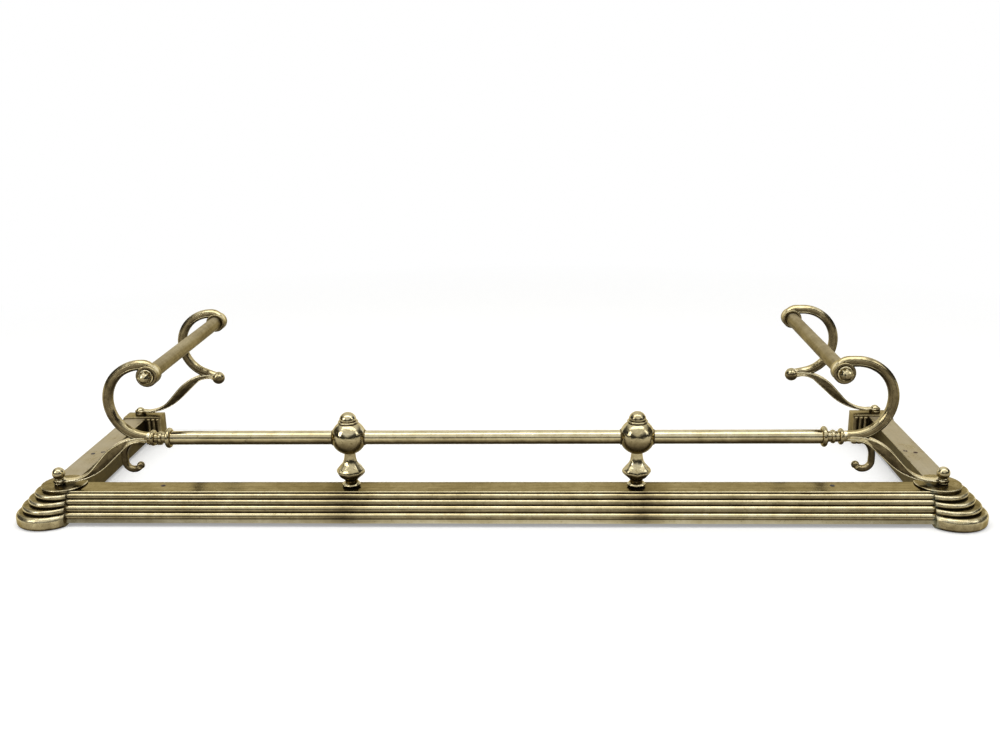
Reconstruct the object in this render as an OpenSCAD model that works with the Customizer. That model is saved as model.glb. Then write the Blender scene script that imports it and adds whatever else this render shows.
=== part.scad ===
// Brass rail fender for a hearth: a hollow reeded base on three sides, round stepped corners,
// four flat scroll castings and rails between them. Floor at z = 0, front towards -Y, the
// origin at the middle of the footprint.

/* [Overall] */
// Width over the corner castings
overall_w = 1370; // [1100:10:1500]
// Depth from the front of the corners to the nuts behind the rear scrolls
overall_d = 400; // [310:5:490]

/* [Base moulding] */
// Height of the flat ledge above the floor
ledge_h = 47; // [44:1:52]
// Width of the flat ledge from lip to inner wall
ledge_w = 34; // [32:1:38]
// How far the reeded face runs outwards below the lip
mould_run = 20; // [14:1:24]
// Gap between the floor and the lower edge of the moulding
foot_gap = 6; // [3:0.5:8]
// Thickness of the brass section
sheet_t = 1.6; // [1.2:0.1:2]
// How far each reed bulges from its face
reed_bulge = 2.4; // [1.5:0.1:3]

/* [Corner castings] */
// Radius of the lowest ring of a corner
band_r = 45; // [43:1:48]
// Height of the lowest ring
band_h = 19.5; // [17:0.5:20]
// Radius of the top plate
plate_r = 32; // [30:1:34]
// Thickness of the top plate
plate_t = 2.5; // [1.5:0.5:3.5]
// How far the top plate stands over the lip
plate_proud = 7.5; // [6:0.5:9]
// How far the top plate leans back from the lowest ring, along X and along Y
corner_lean = 18.5; // [16:0.5:20]
// Distance from the plate's centre to the seam with a moulding
seam_reach = 14.5; // [13:0.5:16]
// Wall between the outside of a corner and its hollow underside
cast_wall = 9; // [8:0.5:10]

/* [Rear blocks] */
// Depth of a rear block along Y
block_d = 28; // [26:1:32]
// How far a rear block stands inside the inner wall of its return
block_in = 25; // [20:1:30]
// How far a rear block stands out beyond the moulding
block_out = 4; // [2:0.5:6]
// Radius of the upright reeds on the front of a block
block_reed_r = 4; // [3:0.5:4.5]

/* [Iron bars] */
// Width of the flat bars inside the base
core_w = 22; // [20:1:23]
// Thickness of the flat bars
core_t = 8; // [6:0.5:9]
// Thickness of the straps under the corners
strap_t = 5; // [4:0.5:6]
// Length of a strap behind the bolt
strap_l = 66; // [50:2:90]

/* [Rails] */
// Distance of the rail behind the lip of the ledge
rail_inset = 20; // [19:0.5:21]
// Height of the front rail's centre
rail_z = 119.5; // [116:0.5:126]
// Outer diameter of the rail tubes
tube_d = 19; // [17:0.5:20]
// Wall of the rail tubes
tube_wall = 1.5; // [1:0.1:2]
// Diameter of the tie rods inside the tubes
rod_d = 8; // [6:0.5:8]
// Length of a collar
collar_l = 29; // [27:0.5:33]
// Diameter of a collar's large ring
collar_d = 29; // [27:0.5:33]

/* [Balusters] */
// Distance of a baluster from the middle of the fender
baluster_x = 202; // [150:2:250]
// Radius of the ball
ball_r = 23; // [22:0.5:25]
// Radius of the knop across its corners
knop_r = 20.5; // [18:0.5:22]
// Radius of the eight-sided stem across its corners
stem_r = 8.2; // [7.5:0.1:9]
// Radius of the foot across its corners
foot_r = 13.5; // [12:0.5:15]
// Radius of the dome on top
dome_r = 12.5; // [11:0.5:14]
// Diameter of the threaded studs
stud_d = 8; // [6:0.5:8]

/* [Scrolls] */
// Distance from the bolt to the end of the scroll at the rail
scroll_reach = 142; // [138:1:150]
// Radius of the lower half of the C
low_r = 55; // [53:1:59]
// Radius of the upper half of the C
top_r = 53; // [50:1:55]
// Radius of the curve that runs into the eye
run_r = 15.5; // [14.5:0.5:17]
// Flat stretch before the C curves up, on the right-hand scrolls
right_flat = 10.5; // [7:0.5:12]
// Flat stretch before the C curves up, on the left-hand scrolls
left_flat = 2; // [2:0.5:5]
// Slope of the right-hand rear scroll's tail in degrees
right_tail_slope = 12; // [8:1:15]
// Slope of the left-hand rear scroll's tail in degrees
left_tail_slope = 22; // [16:1:25]
// Radius of the eye
eye_r = 15; // [14:0.5:16]
// Depth of the eye along Y
eye_d = 22; // [18:1:24]
// Width of the scroll's bar, seen from the front
bar_w = 12.5; // [11:0.5:13]
// Depth of the scroll's bar along Y
bar_d = 12; // [11.5:0.5:13]
// Thickness of the arm where it ends in the pad
arm_w = 3.4; // [3:0.1:3.8]
// Depth of the arm along Y
arm_d = 11; // [10:0.5:11]
// Slope of the arm's upper edge in degrees
arm_slope = 48; // [46:1:50]
// Radius of the bend at the foot of the arm's upper edge
arm_foot_r = 55; // [50:1:58]
// Radius of the bend at the foot of the arm's lower edge
arm_under_r = 98; // [94:1:104]
// Radius of the curl's first bend
curl_r = 25.5; // [24:0.5:28]
// Radius of the curl's tight bend
curl_end_r = 11.5; // [10.5:0.5:13]
// Radius of the little ball at the curl's end
curl_ball_r = 5.5; // [5:0.5:7]
// Radius of the ball at the end of a rear scroll
rear_ball_r = 10.5; // [9:0.5:12]

/* [Fasteners] */
// Radius of the pad at a scroll's foot
pad_r = 9; // [8:0.5:10]
// Thickness of the pad
pad_t = 4; // [3:0.5:5]
// Height of the turned ring under a front pad
spacer_h = 3.5; // [2.5:0.5:5]
// Radius of the ball head of a corner bolt
bolt_ball_r = 9; // [8.5:0.5:10]
// Diameter of the bolts
bolt_d = 8; // [6:0.5:8]
// Length of a facetted eye nut
eye_nut_l = 14; // [13:1:16]
// Radius of a facetted eye nut
eye_nut_r = 9.5; // [9:0.5:11]
// Length of the plain nuts behind the rear eyes
rear_nut_l = 8; // [7:0.5:9]
// Diameter of the countersunk screw heads
screw_head_d = 7; // [6:0.5:8]
// Distance of the front ledge screws from the corner bolts
ledge_screw_in = 151; // [120:1:200]
// Distance of the screws on a return behind the rail
side_screw_back = 136; // [110:1:150]

/* [Hidden] */
$fn = 64;

// Colours of the metals
brass = "#b49a5a";
pale_brass = "#b8ab86";
iron = "#4b4642";

// Clearances and small allowances
fit_gap = 0.15;      // between a bolt or rod and its hole, on the radius
socket_gap = 0.2;    // between a tube and its socket, on the radius
part_gap = 0.4;      // between neighbours that only stand side by side
end_gap = 0.5;       // between the end of a bolt and the bottom of its blind hole
cut = 1;             // how far a cutting solid runs past the face it cuts

// Plan of the base, worked inwards from the outside
band_x = overall_w / 2 - band_r;
band_y = -overall_d / 2 + band_r;
plate_x = band_x - corner_lean;
plate_y = band_y + corner_lean;
lip_x = plate_x + plate_r - plate_proud;
lip_y = plate_y - plate_r + plate_proud;
inner_x = lip_x - ledge_w;
inner_y = lip_y + ledge_w;
seam_x = plate_x - seam_reach;
seam_y = plate_y + seam_reach;
rail_y = lip_y + rail_inset;
bolt_x = lip_x - rail_inset;
block_back = overall_d / 2 - rear_nut_l;
block_y = block_back - block_d;
rear_y = block_back - eye_d / 2;

// Levels
core_top = ledge_h - sheet_t;
core_bottom = core_top - core_t;
strap_bottom = core_bottom - strap_t;
plate_top = ledge_h + plate_t;
pad_z = plate_top + spacer_h;
pad_top = pad_z + pad_t;

// Iron bars
block_wall = 3;      // brass left behind the end of a bar
core_start_y = rail_y + core_w / 2 + part_gap;
core_end_y = block_back - block_wall - part_gap;
core_end_x = bolt_x + core_w / 2;
strap_screw_in = 10;
strap_screw_y = rail_y + strap_l - strap_screw_in;
strap_screw_d = 6;
strap_head_d = 10;
strap_head_h = 3.5;

// Nuts and washers under the base
washer_t = 1.6;
washer_r = 8.5;
nut_h = 6.5;
nut_r = 7.5;         // across its corners
rear_nut_r = 8.5;
bolt_end = 3;        // thread that shows below a nut
bolt_hole_d = bolt_d + 2 * fit_gap;
stud_hole_d = stud_d + 2 * fit_gap;

// Countersunk screws on the ledges, one at each end of the front and a pair on each return
screw_d = 4;
screw_head_h = (screw_head_d - screw_d) / 2;
screw_tip = 2;       // iron left below the end of a screw
pair_half = 6.5;     // half the distance between the two screws of a pair
pair_skew = 3.5;     // how far each of them stands out of line
front_screw_x = bolt_x - ledge_screw_in;
side_screw_y = rail_y + side_screw_back;
front_screws = [[front_screw_x, rail_y]];
side_screws = [[bolt_x - pair_half, side_screw_y + pair_skew],
    [bolt_x + pair_half, side_screw_y - pair_skew]];

// Reeded face: heights of the grooves between the reeds, as shares of the face's height
groove_share = [0.925, 0.74, 0.555, 0.33, 0.115];
reeds = len(groove_share) - 1;
reed_lap = 0.25;     // how far each reed runs over the groove into its neighbour
lip_bead_r = 1.8;    // bead along the edge of the ledge
lip_bead_low = 2.2;  // its centre below the ledge
function face_u(z) = mould_run * (ledge_h - z) / (ledge_h - foot_gap);
function groove_z(i) = foot_gap + groove_share[i] * (ledge_h - foot_gap);

// Corner rings: shares of the way from the top plate down to the lowest ring
rings = 4;
ring_bulge = 3;
neck_h = 3;          // smooth neck between the plate and the first ring
neck_in = 2;         // how far the neck stands inside the plate's edge
ring_step = (ledge_h - neck_h - band_h) / (rings - 1);
ring_sink = 1;       // how far each ring reaches down into the one below
band_shoulder = 7.5; // rounding of the lowest ring above
band_toe = 5;        // and below
function ring_share(k) = k / rings;
function ring_r(k) = plate_r + (band_r - plate_r) * ring_share(k);
function ring_x(k) = band_x - corner_lean * (1 - ring_share(k));
function ring_y(k) = band_y + corner_lean * (1 - ring_share(k));
function ring_low(k) = k == rings ? 0 : band_h + (rings - 1 - k) * ring_step;
function ring_high(k) = k == rings ? band_h : ring_low(k) + ring_step;

spacer_in = 1;       // how far a spacer stands inside the pad's edge

// Scroll, in its own plane: x counts outwards from the bolt, z from the floor
end_x = -scroll_reach;
low_z = rail_z + low_r;
top_z = low_z + top_r;
top_flat = 2;        // flat stretch on top of a left-hand C
lap = 0.5;           // how far neighbouring stretches of a bar run into each other
slim = 0.03;         // how much finer every second stretch is, on each side
arc_steps = 10;      // straight faces along each bend of the arm's edges
run_x = end_x + left_flat + low_r - top_r - top_flat;
run_z = top_z - run_r;
eye_proud = 1;       // how far the eye stands out of the bar's curve
eye_x = run_x - run_r - bar_w / 2 + eye_r - eye_proud;
eye_z = top_z - eye_r;
bar_bevel = 3;
arm_bevel = 2;
boss_l = 6;
boss_d = 15;
rod_grip = 12;       // how far the front tie rod reaches into a scroll
rail_socket = 4;     // depth of an eye's socket for the side rail
front_rod_out = 8;   // thread that stands out of a front eye
rear_rod_out = 5;    // and out of a rear eye

// Curl under a front scroll
curl_w = 8.5;
curl_d = 9;
curl_in = 16;        // where its first bend starts, from the end at the rail
curl_hang = 1.5;     // how far its bar lies below the middle of the tail
curl_x = end_x + curl_in;
curl_start_x = end_x + boss_l / 2;
curl_z = rail_z - curl_hang - curl_r;
curl_drop = 8.5;
curl_turn = 150;
curl_end_x = curl_x + curl_r - curl_end_r;

// Arm: each edge is an upper bend, a straight stretch and a lower bend that ends flat at the pad
arm_top_z = rail_z + 2;      // where the upper edge starts, inside the scroll's bar
arm_low_z = rail_z - 2;      // and the lower edge
arm_foot_z = pad_z + (pad_t - arm_w) / 2;
arm_top_in = 11.4;   // where the upper edge starts to fall, from the end at the rail
arm_top_x = end_x + arm_top_in;
arm_top_r = 82;
arm_low_r = 30;
arm_low_slope = arm_slope - 5;
arm_under_out = 2.1; // how much nearer to the bolt the lower edge runs flat
arm_start_in = 0.5;  // how far the arm's start lies beyond both bends
arm_step = 1;        // rebate along the edges of the arm's faces
arm_foot_x = fall_end(arm_top_x, arm_top_z - arm_foot_z - arm_w, arm_slope, arm_top_r, arm_foot_r);
arm_under_x = arm_foot_x + arm_under_out;
arm_low_x = arm_under_x - fall_end(0, arm_low_z - arm_foot_z, arm_low_slope, arm_low_r, arm_under_r);
arm_start_x = min(arm_top_x, arm_low_x) - arm_start_in;
arm_end_x = max(0, arm_under_x + lap);
leaf_l = 20;         // plan of the leaf that widens the arm's foot to the pad
leaf_tip = 4;
leaf_w = 8.2;
leaf_back = 3.5;
leaf_step = 0.2;     // how far it lies inside the foot's thickness, above and below
function fall_end(x, drop, slope, high_r, low_r) = x + (high_r + low_r) * sin(slope)
    + (drop - (high_r + low_r) * (1 - cos(slope))) / tan(slope);

// Rail, collars and balls
collar_end_x = bolt_x - scroll_reach;
collar_face_x = collar_end_x - collar_l;
tube_seat = 6;       // depth of a collar's socket
ball_side = 20.5;    // flat faces at the sides of a ball, from its centre
ball_seat = 3.5;     // depth of the sockets in them
ferrule_w = 2;
ferrule_r = tube_d / 2 + 2;
ball_up = 18;        // flat face on top of a ball, from its centre
ball_down = 21;      // and below
ball_top = rail_z + ball_up;
ball_bottom = rail_z - ball_down;
rod_wall = 1.5;      // brass between the front tie rod and the studs above and below it
stud_top = rail_z - rod_d / 2 - rod_wall;
stub_bottom = rail_z + rod_d / 2 + rod_wall;

// Baluster: eight-sided foot, neck, knop and stem, and the turned finial
flat_share = cos(22.5);
foot_h = 6;
foot_in = 2.5;
neck_r = 8.5;
neck_l = 4;
knop_low = 5;
knop_in = 4;
knop_rise = 14;
rim_in = 1.8;         // how far the knop's rim draws in towards the cove
rim_rise = 24;
cove_r = 17;
cove_rise = 42;
cove_bite = 0.3;
foot_top = ledge_h + foot_h;
finial_ring_h = 3.5;
finial_ring_out = 1.5;   // how far the ring stands out beyond the dome
finial_groove_h = 2;
finial_groove_in = 2;
finial_side_h = 3;
finial_stub_d = 6;

// ---- small helpers -------------------------------------------------------------

// The other side's twin of a right-hand piece
module left_side() {
    mirror([1, 0, 0]) children();
}

// Both the right-hand piece and its twin
module both_sides() {
    children();
    left_side() children();
}

// Round bar along X, Y or Z
module bar_x(d, l) {
    rotate([0, 90, 0]) cylinder(d = d, h = l);
}

module bar_y(d, l) {
    rotate([-90, 0, 0]) cylinder(d = d, h = l);
}

module bar_z(x, y, d, low, high) {
    translate([x, y, low]) cylinder(d = d, h = high - low);
}

// Box between two corners
module box(lo, hi) {
    translate(lo) cube(hi - lo);
}

// Eight-sided solid with the given side view, corners towards the front and the sides
module eight_sided(width) {
    intersection_for (i = [0 : 3])
        rotate([0, 0, 22.5 + 45 * i]) rotate([90, 0, 0])
            linear_extrude(height = width, center = true) children();
}

// Symmetric outline from the points of its right half, listed from the bottom up
module two_sided(points) {
    last = len(points) - 1;
    polygon(concat(points, [for (i = [0 : last]) [-points[last - i].x, points[last - i].y]]));
}

// ---- reeded brass moulding -----------------------------------------------------

// One reed of the face, between two neighbouring grooves (x counts outwards from the lip)
module reed(z_high, z_low) {
    run = face_u(z_low) - face_u(z_high);
    face = norm([run, z_high - z_low]);
    half = face / 2 + reed_lap;
    r = (half * half + reed_bulge * reed_bulge) / (2 * reed_bulge);
    out = [(z_high - z_low) / face, run / face];
    middle = [(face_u(z_high) + face_u(z_low)) / 2, (z_high + z_low) / 2];
    translate(middle - out * (r - reed_bulge)) circle(r = r);
}

// Outline of the moulding without its reeds, cut off square at the inner wall
module mould_outline() {
    polygon([[-ledge_w, foot_gap], [-ledge_w, ledge_h], [0, ledge_h], [mould_run, foot_gap]]);
}

module lip_bead() {
    translate([0, ledge_h - lip_bead_low]) circle(r = lip_bead_r);
}

module mould_hollow() {
    slant = sheet_t * norm([mould_run, ledge_h - foot_gap]) / (ledge_h - foot_gap);
    low = foot_gap - cut;
    polygon([[-ledge_w + sheet_t, low], [-ledge_w + sheet_t, core_top],
        [face_u(core_top) - slant, core_top], [face_u(low) - slant, low]]);
}

// Length of moulding that stands on its end
module mould_length(l) {
    difference() {
        union() {
            linear_extrude(height = l) mould_outline();
            linear_extrude(height = l) lip_bead();
            for (i = [0 : reeds - 1])
                linear_extrude(height = l) reed(groove_z(i), groove_z(i + 1));
        }
        translate([0, 0, -cut]) linear_extrude(height = l + 2 * cut) mould_hollow();
    }
}

// Countersunk screw, its head flush with the ledge
module ledge_screw(p) {
    low = core_bottom + screw_tip;
    bar_z(p.x, p.y, screw_d, low, ledge_h - screw_head_h);
    translate([p.x, p.y, ledge_h - screw_head_h])
        cylinder(d1 = screw_d, d2 = screw_head_d, h = screw_head_h);
}

// Hole for such a screw
module ledge_screw_hole(p) {
    d = screw_d + 2 * fit_gap;
    bar_z(p.x, p.y, d, core_bottom + screw_tip - end_gap, ledge_h);
    translate([p.x, p.y, ledge_h - screw_head_h])
        cylinder(d1 = d, d2 = d + 2 * (screw_head_h + cut), h = screw_head_h + cut);
}

module stud_hole(low, high) {
    bar_z(baluster_x, rail_y, stud_hole_d, low, high);
}

module front_moulding() {
    color(brass) difference() {
        translate([seam_x, lip_y, 0]) rotate([90, 0, -90]) mould_length(2 * seam_x);
        both_sides() stud_hole(core_top - cut, ledge_h + cut);
        both_sides() for (p = front_screws) ledge_screw_hole(p);
    }
}

module right_moulding() {
    color(brass) difference() {
        translate([lip_x, block_y, 0]) rotate([90, 0, 0]) mould_length(block_y - seam_y);
        for (p = side_screws) ledge_screw_hole(p);
    }
}

module left_moulding() {
    left_side() right_moulding();
}

// ---- corner castings -----------------------------------------------------------

// Side of one ring: a flat core with a bulging edge
module ring_profile(k) {
    low = ring_low(k);
    high = ring_high(k);
    r = ring_r(k);
    half = (high - low) / 2;
    edge = (half * half + ring_bulge * ring_bulge) / (2 * ring_bulge);
    translate([0, low - ring_sink]) square([r - ring_bulge, high - low + ring_sink]);
    intersection() {
        translate([r - edge, low + half]) circle(r = edge);
        translate([0, low]) square([r, high - low]);
    }
}

// The lowest ring: tall, rounded above and tucked in below
module band_profile() {
    square([band_r - band_shoulder, band_h]);
    translate([band_r - band_shoulder, band_h - band_shoulder]) circle(r = band_shoulder);
    translate([band_r - band_toe, band_toe]) circle(r = band_toe);
    square([band_r - band_toe, band_toe]);
    translate([0, band_toe]) square([band_r, band_h - band_shoulder - band_toe]);
}

module plate_profile() {
    edge = plate_t / 2;
    translate([0, ledge_h]) square([plate_r - edge, plate_t]);
    translate([plate_r - edge, ledge_h + edge]) circle(r = edge);
    translate([0, ledge_h - neck_h - ring_sink])
        square([plate_r - neck_in, ring_sink + neck_h + edge]);
}

module corner_rings() {
    translate([plate_x, plate_y, 0]) rotate_extrude() plate_profile();
    for (k = [1 : rings - 1])
        translate([ring_x(k), ring_y(k), 0]) rotate_extrude() ring_profile(k);
    translate([band_x, band_y, 0]) rotate_extrude() band_profile();
}

// Hollow underside, which the iron bars run through
module corner_hollow() {
    top_wall = 4.5;
    bar_z(plate_x, plate_y, 2 * (plate_r - top_wall), -cut, core_top);
    for (k = [1 : rings])
        bar_z(ring_x(k), ring_y(k), 2 * (ring_r(k) - cast_wall), -cut, ring_high(k) - top_wall);
}

module right_corner() {
    far = overall_w;
    web = 2.6;
    color(brass) difference() {
        corner_rings();
        // room for the mouldings on both sides
        box([0, -far, -cut], [seam_x, far, ledge_h]);
        box([0, seam_y, -cut], [far, far, ledge_h]);
        // inner corner of the U
        box([0, inner_y, -cut], [inner_x, far, plate_top + cut]);
        difference() {
            corner_hollow();
            box([0, inner_y - web, -far], [inner_x + web, far, far]);
        }
        bar_z(bolt_x, rail_y, bolt_hole_d, core_top - cut, plate_top + cut);
    }
}

module left_corner() {
    left_side() right_corner();
}

// ---- rear blocks ---------------------------------------------------------------

// Closes the end of the return; its inner part is an upright pier with reeds
module right_rear_block() {
    pier_x = inner_x - block_in;
    front_reeds = floor(block_in / (2 * block_reed_r));
    color(brass) difference() {
        union() {
            translate([lip_x, block_back, 0]) rotate([90, 0, 0])
                linear_extrude(height = block_d)
                    polygon([[-ledge_w - block_in, 0], [-ledge_w - block_in, plate_top],
                        [block_out, plate_top], [mould_run + block_out, 0]]);
            for (i = [0 : front_reeds - 1])
                translate([pier_x + block_reed_r * (2 * i + 1), block_y, 0])
                    cylinder(r = block_reed_r, h = ledge_h);
            bar_z(bolt_x, rear_y, 2 * pad_r, ledge_h, pad_z);
        }
        // pocket for the end of the iron bar
        box([bolt_x - core_w / 2 - part_gap, block_y - block_reed_r - cut, -cut],
            [bolt_x + core_w / 2 + part_gap, block_back - block_wall, core_top]);
        bar_z(bolt_x, rear_y, bolt_hole_d, core_top - cut, pad_z + cut);
    }
}

module left_rear_block() {
    left_side() right_rear_block();
}

// ---- iron bars and straps ------------------------------------------------------

module strap_screw_hole(low, high) {
    bar_z(bolt_x, strap_screw_y, strap_screw_d + 2 * fit_gap, low, high);
}

module front_core() {
    color(iron) difference() {
        box([-core_end_x, rail_y - core_w / 2, core_bottom],
            [core_end_x, rail_y + core_w / 2, core_top]);
        both_sides() bar_z(bolt_x, rail_y, bolt_hole_d, core_bottom - cut, core_top + cut);
        both_sides() stud_hole(core_bottom - cut, core_top + cut);
        both_sides() for (p = front_screws) ledge_screw_hole(p);
    }
}

module right_core() {
    color(iron) difference() {
        box([bolt_x - core_w / 2, core_start_y, core_bottom], [core_end_x, core_end_y, core_top]);
        bar_z(bolt_x, rear_y, bolt_hole_d, core_bottom - cut, core_top + cut);
        strap_screw_hole(core_bottom - cut, core_top + cut);
        for (p = side_screws) ledge_screw_hole(p);
    }
}

module left_core() {
    left_side() right_core();
}

module right_corner_strap() {
    color(iron) difference() {
        box([bolt_x - core_w / 2, rail_y - core_w / 2, strap_bottom],
            [core_end_x, rail_y + strap_l, core_bottom]);
        bar_z(bolt_x, rail_y, bolt_hole_d, strap_bottom - cut, core_bottom + cut);
        strap_screw_hole(strap_bottom - cut, core_bottom + cut);
    }
}

module left_corner_strap() {
    left_side() right_corner_strap();
}

module strap_screw() {
    bar_z(bolt_x, strap_screw_y, strap_head_d, strap_bottom - strap_head_h, strap_bottom);
    bar_z(bolt_x, strap_screw_y, strap_screw_d, strap_bottom - cut, core_top - cut);
}

module strap_screws() {
    color(iron) both_sides() strap_screw();
}

module ledge_screws() {
    color(iron) both_sides() for (p = concat(front_screws, side_screws)) ledge_screw(p);
}

// ---- scroll castings -----------------------------------------------------------

// Cross-section of a bar with bevelled edges, at radius r from the bend's centre
module bar_section(r, w, d, bevel) {
    translate([r, 0]) polygon([[-w / 2, -d / 2 + bevel], [-w / 2 + bevel, -d / 2],
        [w / 2 - bevel, -d / 2], [w / 2, -d / 2 + bevel], [w / 2, d / 2 - bevel],
        [w / 2 - bevel, d / 2], [-w / 2 + bevel, d / 2], [-w / 2, d / 2 - bevel]]);
}

// Bend in the scroll's plane about centre c, from one angle to another (0 is outwards, 90 up)
module bend(c, r, from, to, w, d, bevel) {
    translate([c.x, 0, c.y]) rotate([90, 0, 0]) rotate([0, 0, from])
        rotate_extrude(angle = to - from) bar_section(r, w, d, bevel);
}

// The same, a hair finer and a little longer, so that it ends inside its neighbours
module slim_bend(c, r, from, to, w, d, bevel) {
    more = lap / r * 180 / PI;
    bend(c, r, from - more, to + more, w - 2 * slim, d - 2 * slim, bevel);
}

// Straight stretch of the same bar between two points
module stretch(a, b, w, d, bevel) {
    angle = atan2(b.y - a.y, b.x - a.x);
    translate([a.x, 0, a.y]) rotate([0, -angle, 0]) rotate([90, 0, 90])
        linear_extrude(height = norm(b - a)) rotate(90) bar_section(0, w, d, bevel);
}

module slim_stretch(a, b, w, d, bevel) {
    more = (b - a) / norm(b - a) * lap;
    stretch(a - more, b + more, w - 2 * slim, d - 2 * slim, bevel);
}

// Where a tail of the given slope leaves the curve of the C, and where it ends
function tail_start(flat, slope) =
    [end_x + flat + low_r * sin(slope), low_z - low_r * cos(slope)];
function tail_end(flat, slope) =
    tail_start(flat, slope) - [1, tan(slope)] * (flat + low_r * sin(slope));

module c_scroll(flat, slope) {
    top_x = end_x + flat + low_r - top_r;
    tail = tail_end(flat, slope) + [1, tan(slope)] * 2 * lap;
    slim_stretch(tail, tail_start(flat, slope), bar_w, bar_d, bar_bevel);
    bend([end_x + flat, low_z], low_r, slope - 90, 0, bar_w, bar_d, bar_bevel);
    slim_bend([top_x, low_z], top_r, 0, 90, bar_w, bar_d, bar_bevel);
    stretch([run_x, top_z], [top_x, top_z], bar_w, bar_d, bar_bevel);
    slim_bend([run_x, run_z], run_r, 90, 180, bar_w, bar_d, bar_bevel);
    translate([eye_x, -eye_d / 2, eye_z]) bar_y(2 * eye_r, eye_d);
}

// Points of an arc about centre c, from one angle to another
function arc_points(c, r, from, to) = [for (i = [0:arc_steps])
    let (t = from + (to - from) * i / arc_steps) c + r * [cos(t), sin(t)]];

// Side view of the arm, drawn in from its edges
function arm_outline(inset) = concat(
    [[arm_start_x - inset / 2, arm_top_z - inset]],
    arc_points([arm_top_x, arm_top_z - arm_top_r], arm_top_r - inset, 90, 90 - arm_slope),
    arc_points([arm_foot_x, arm_foot_z + arm_w + arm_foot_r], arm_foot_r + inset,
        270 - arm_slope, 270),
    [[arm_end_x + inset / 2, arm_foot_z + arm_w - inset],
        [arm_end_x + inset / 2, arm_foot_z + inset]],
    arc_points([arm_under_x, arm_foot_z + arm_under_r], arm_under_r - inset,
        270, 270 - arm_low_slope),
    arc_points([arm_low_x, arm_low_z - arm_low_r], arm_low_r + inset, 90 - arm_low_slope, 90),
    [[arm_start_x - inset / 2, arm_low_z + inset]]);

module arm_layer(inset, d) {
    translate([0, d / 2, 0]) rotate([90, 0, 0])
        linear_extrude(height = d) polygon(arm_outline(inset));
}

module arm() {
    arm_layer(0, arm_d - 2 * arm_step);
    arm_layer(arm_step, arm_d);
    translate([0, 0, arm_foot_z + leaf_step]) linear_extrude(height = arm_w - 2 * leaf_step)
        polygon([[-leaf_l, -leaf_tip], [-leaf_back, -leaf_w], [0, -leaf_w],
            [0, leaf_w], [-leaf_back, leaf_w], [-leaf_l, leaf_tip]]);
    translate([0, 0, pad_z]) cylinder(r = pad_r, h = pad_t);
}

module curl() {
    top = curl_z + curl_r;
    out_x = curl_x + curl_r;
    drop_z = curl_z - curl_drop;
    slim_stretch([curl_start_x, top], [curl_x, top], curl_w, curl_d, arm_bevel);
    bend([curl_x, curl_z], curl_r, 0, 90, curl_w, curl_d, arm_bevel);
    slim_stretch([out_x, drop_z], [out_x, curl_z], curl_w, curl_d, arm_bevel);
    bend([curl_end_x, drop_z], curl_end_r, -curl_turn, 0, curl_w, curl_d, arm_bevel);
    translate([curl_end_x + curl_end_r * cos(curl_turn), 0, drop_z - curl_end_r * sin(curl_turn)])
        rotate([0, 90 + curl_turn, 0]) sphere(r = curl_ball_r);
}

// Hole for the side tie rod and, on the side the rail comes from, its socket
module eye_cuts(way) {
    mouth = way * (eye_d / 2 + cut);
    floor_y = way * (eye_d / 2 - rail_socket);
    translate([eye_x, -eye_d / 2 - cut, eye_z]) bar_y(rod_d + 2 * fit_gap, eye_d + 2 * cut);
    translate([eye_x, min(mouth, floor_y), eye_z])
        bar_y(tube_d + 2 * socket_gap, rail_socket + cut);
}

module pad_hole() {
    bar_z(0, 0, bolt_hole_d, pad_z - cut, pad_top + cut);
}

module front_scroll(flat) {
    color(brass) translate([bolt_x, rail_y, 0]) difference() {
        union() {
            c_scroll(flat, 0);
            arm();
            curl();
            translate([end_x, 0, rail_z]) bar_x(boss_d, boss_l);
        }
        pad_hole();
        eye_cuts(1);
        translate([end_x - cut, 0, rail_z])
            bar_x(rod_d + 2 * fit_gap, cut + rod_grip + end_gap);
    }
}

module rear_scroll(flat, slope) {
    knob = tail_end(flat, slope);
    color(brass) translate([bolt_x, rear_y, 0]) difference() {
        union() {
            c_scroll(flat, slope);
            arm();
            translate([knob.x, 0, knob.y]) rotate([0, 180 - slope, 0]) sphere(r = rear_ball_r);
        }
        pad_hole();
        eye_cuts(-1);
    }
}

module right_front_scroll() {
    front_scroll(right_flat);
}

module left_front_scroll() {
    left_side() front_scroll(left_flat);
}

module right_rear_scroll() {
    rear_scroll(right_flat, right_tail_slope);
}

module left_rear_scroll() {
    left_side() rear_scroll(left_flat, left_tail_slope);
}

// ---- rails and tie rods --------------------------------------------------------

module rail_tube(from, to) {
    color(brass) translate([from, rail_y, rail_z]) difference() {
        bar_x(tube_d, to - from);
        translate([-cut, 0, 0]) bar_x(tube_d - 2 * tube_wall, to - from + 2 * cut);
    }
}

module middle_rail_tube() {
    end = baluster_x - ball_side + ball_seat;
    rail_tube(-end, end);
}

module right_rail_tube() {
    rail_tube(baluster_x + ball_side - ball_seat, collar_face_x + tube_seat);
}

module left_rail_tube() {
    left_side() right_rail_tube();
}

module right_side_rail() {
    start = rail_y + eye_d / 2 - rail_socket;
    end = rear_y - eye_d / 2 + rail_socket;
    color(pale_brass) translate([bolt_x + eye_x, start, eye_z]) difference() {
        bar_y(tube_d, end - start);
        translate([0, -cut, 0]) bar_y(tube_d - 2 * tube_wall, end - start + 2 * cut);
    }
}

module left_side_rail() {
    left_side() right_side_rail();
}

module front_tie_rod() {
    end = collar_end_x + rod_grip;
    color(iron) translate([-end, rail_y, rail_z]) bar_x(rod_d, 2 * end);
}

module right_side_tie_rod() {
    start = rail_y - eye_d / 2 - front_rod_out;
    end = rear_y + eye_d / 2 + rear_rod_out;
    color(iron) translate([bolt_x + eye_x, start, eye_z]) bar_y(rod_d, end - start);
}

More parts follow.
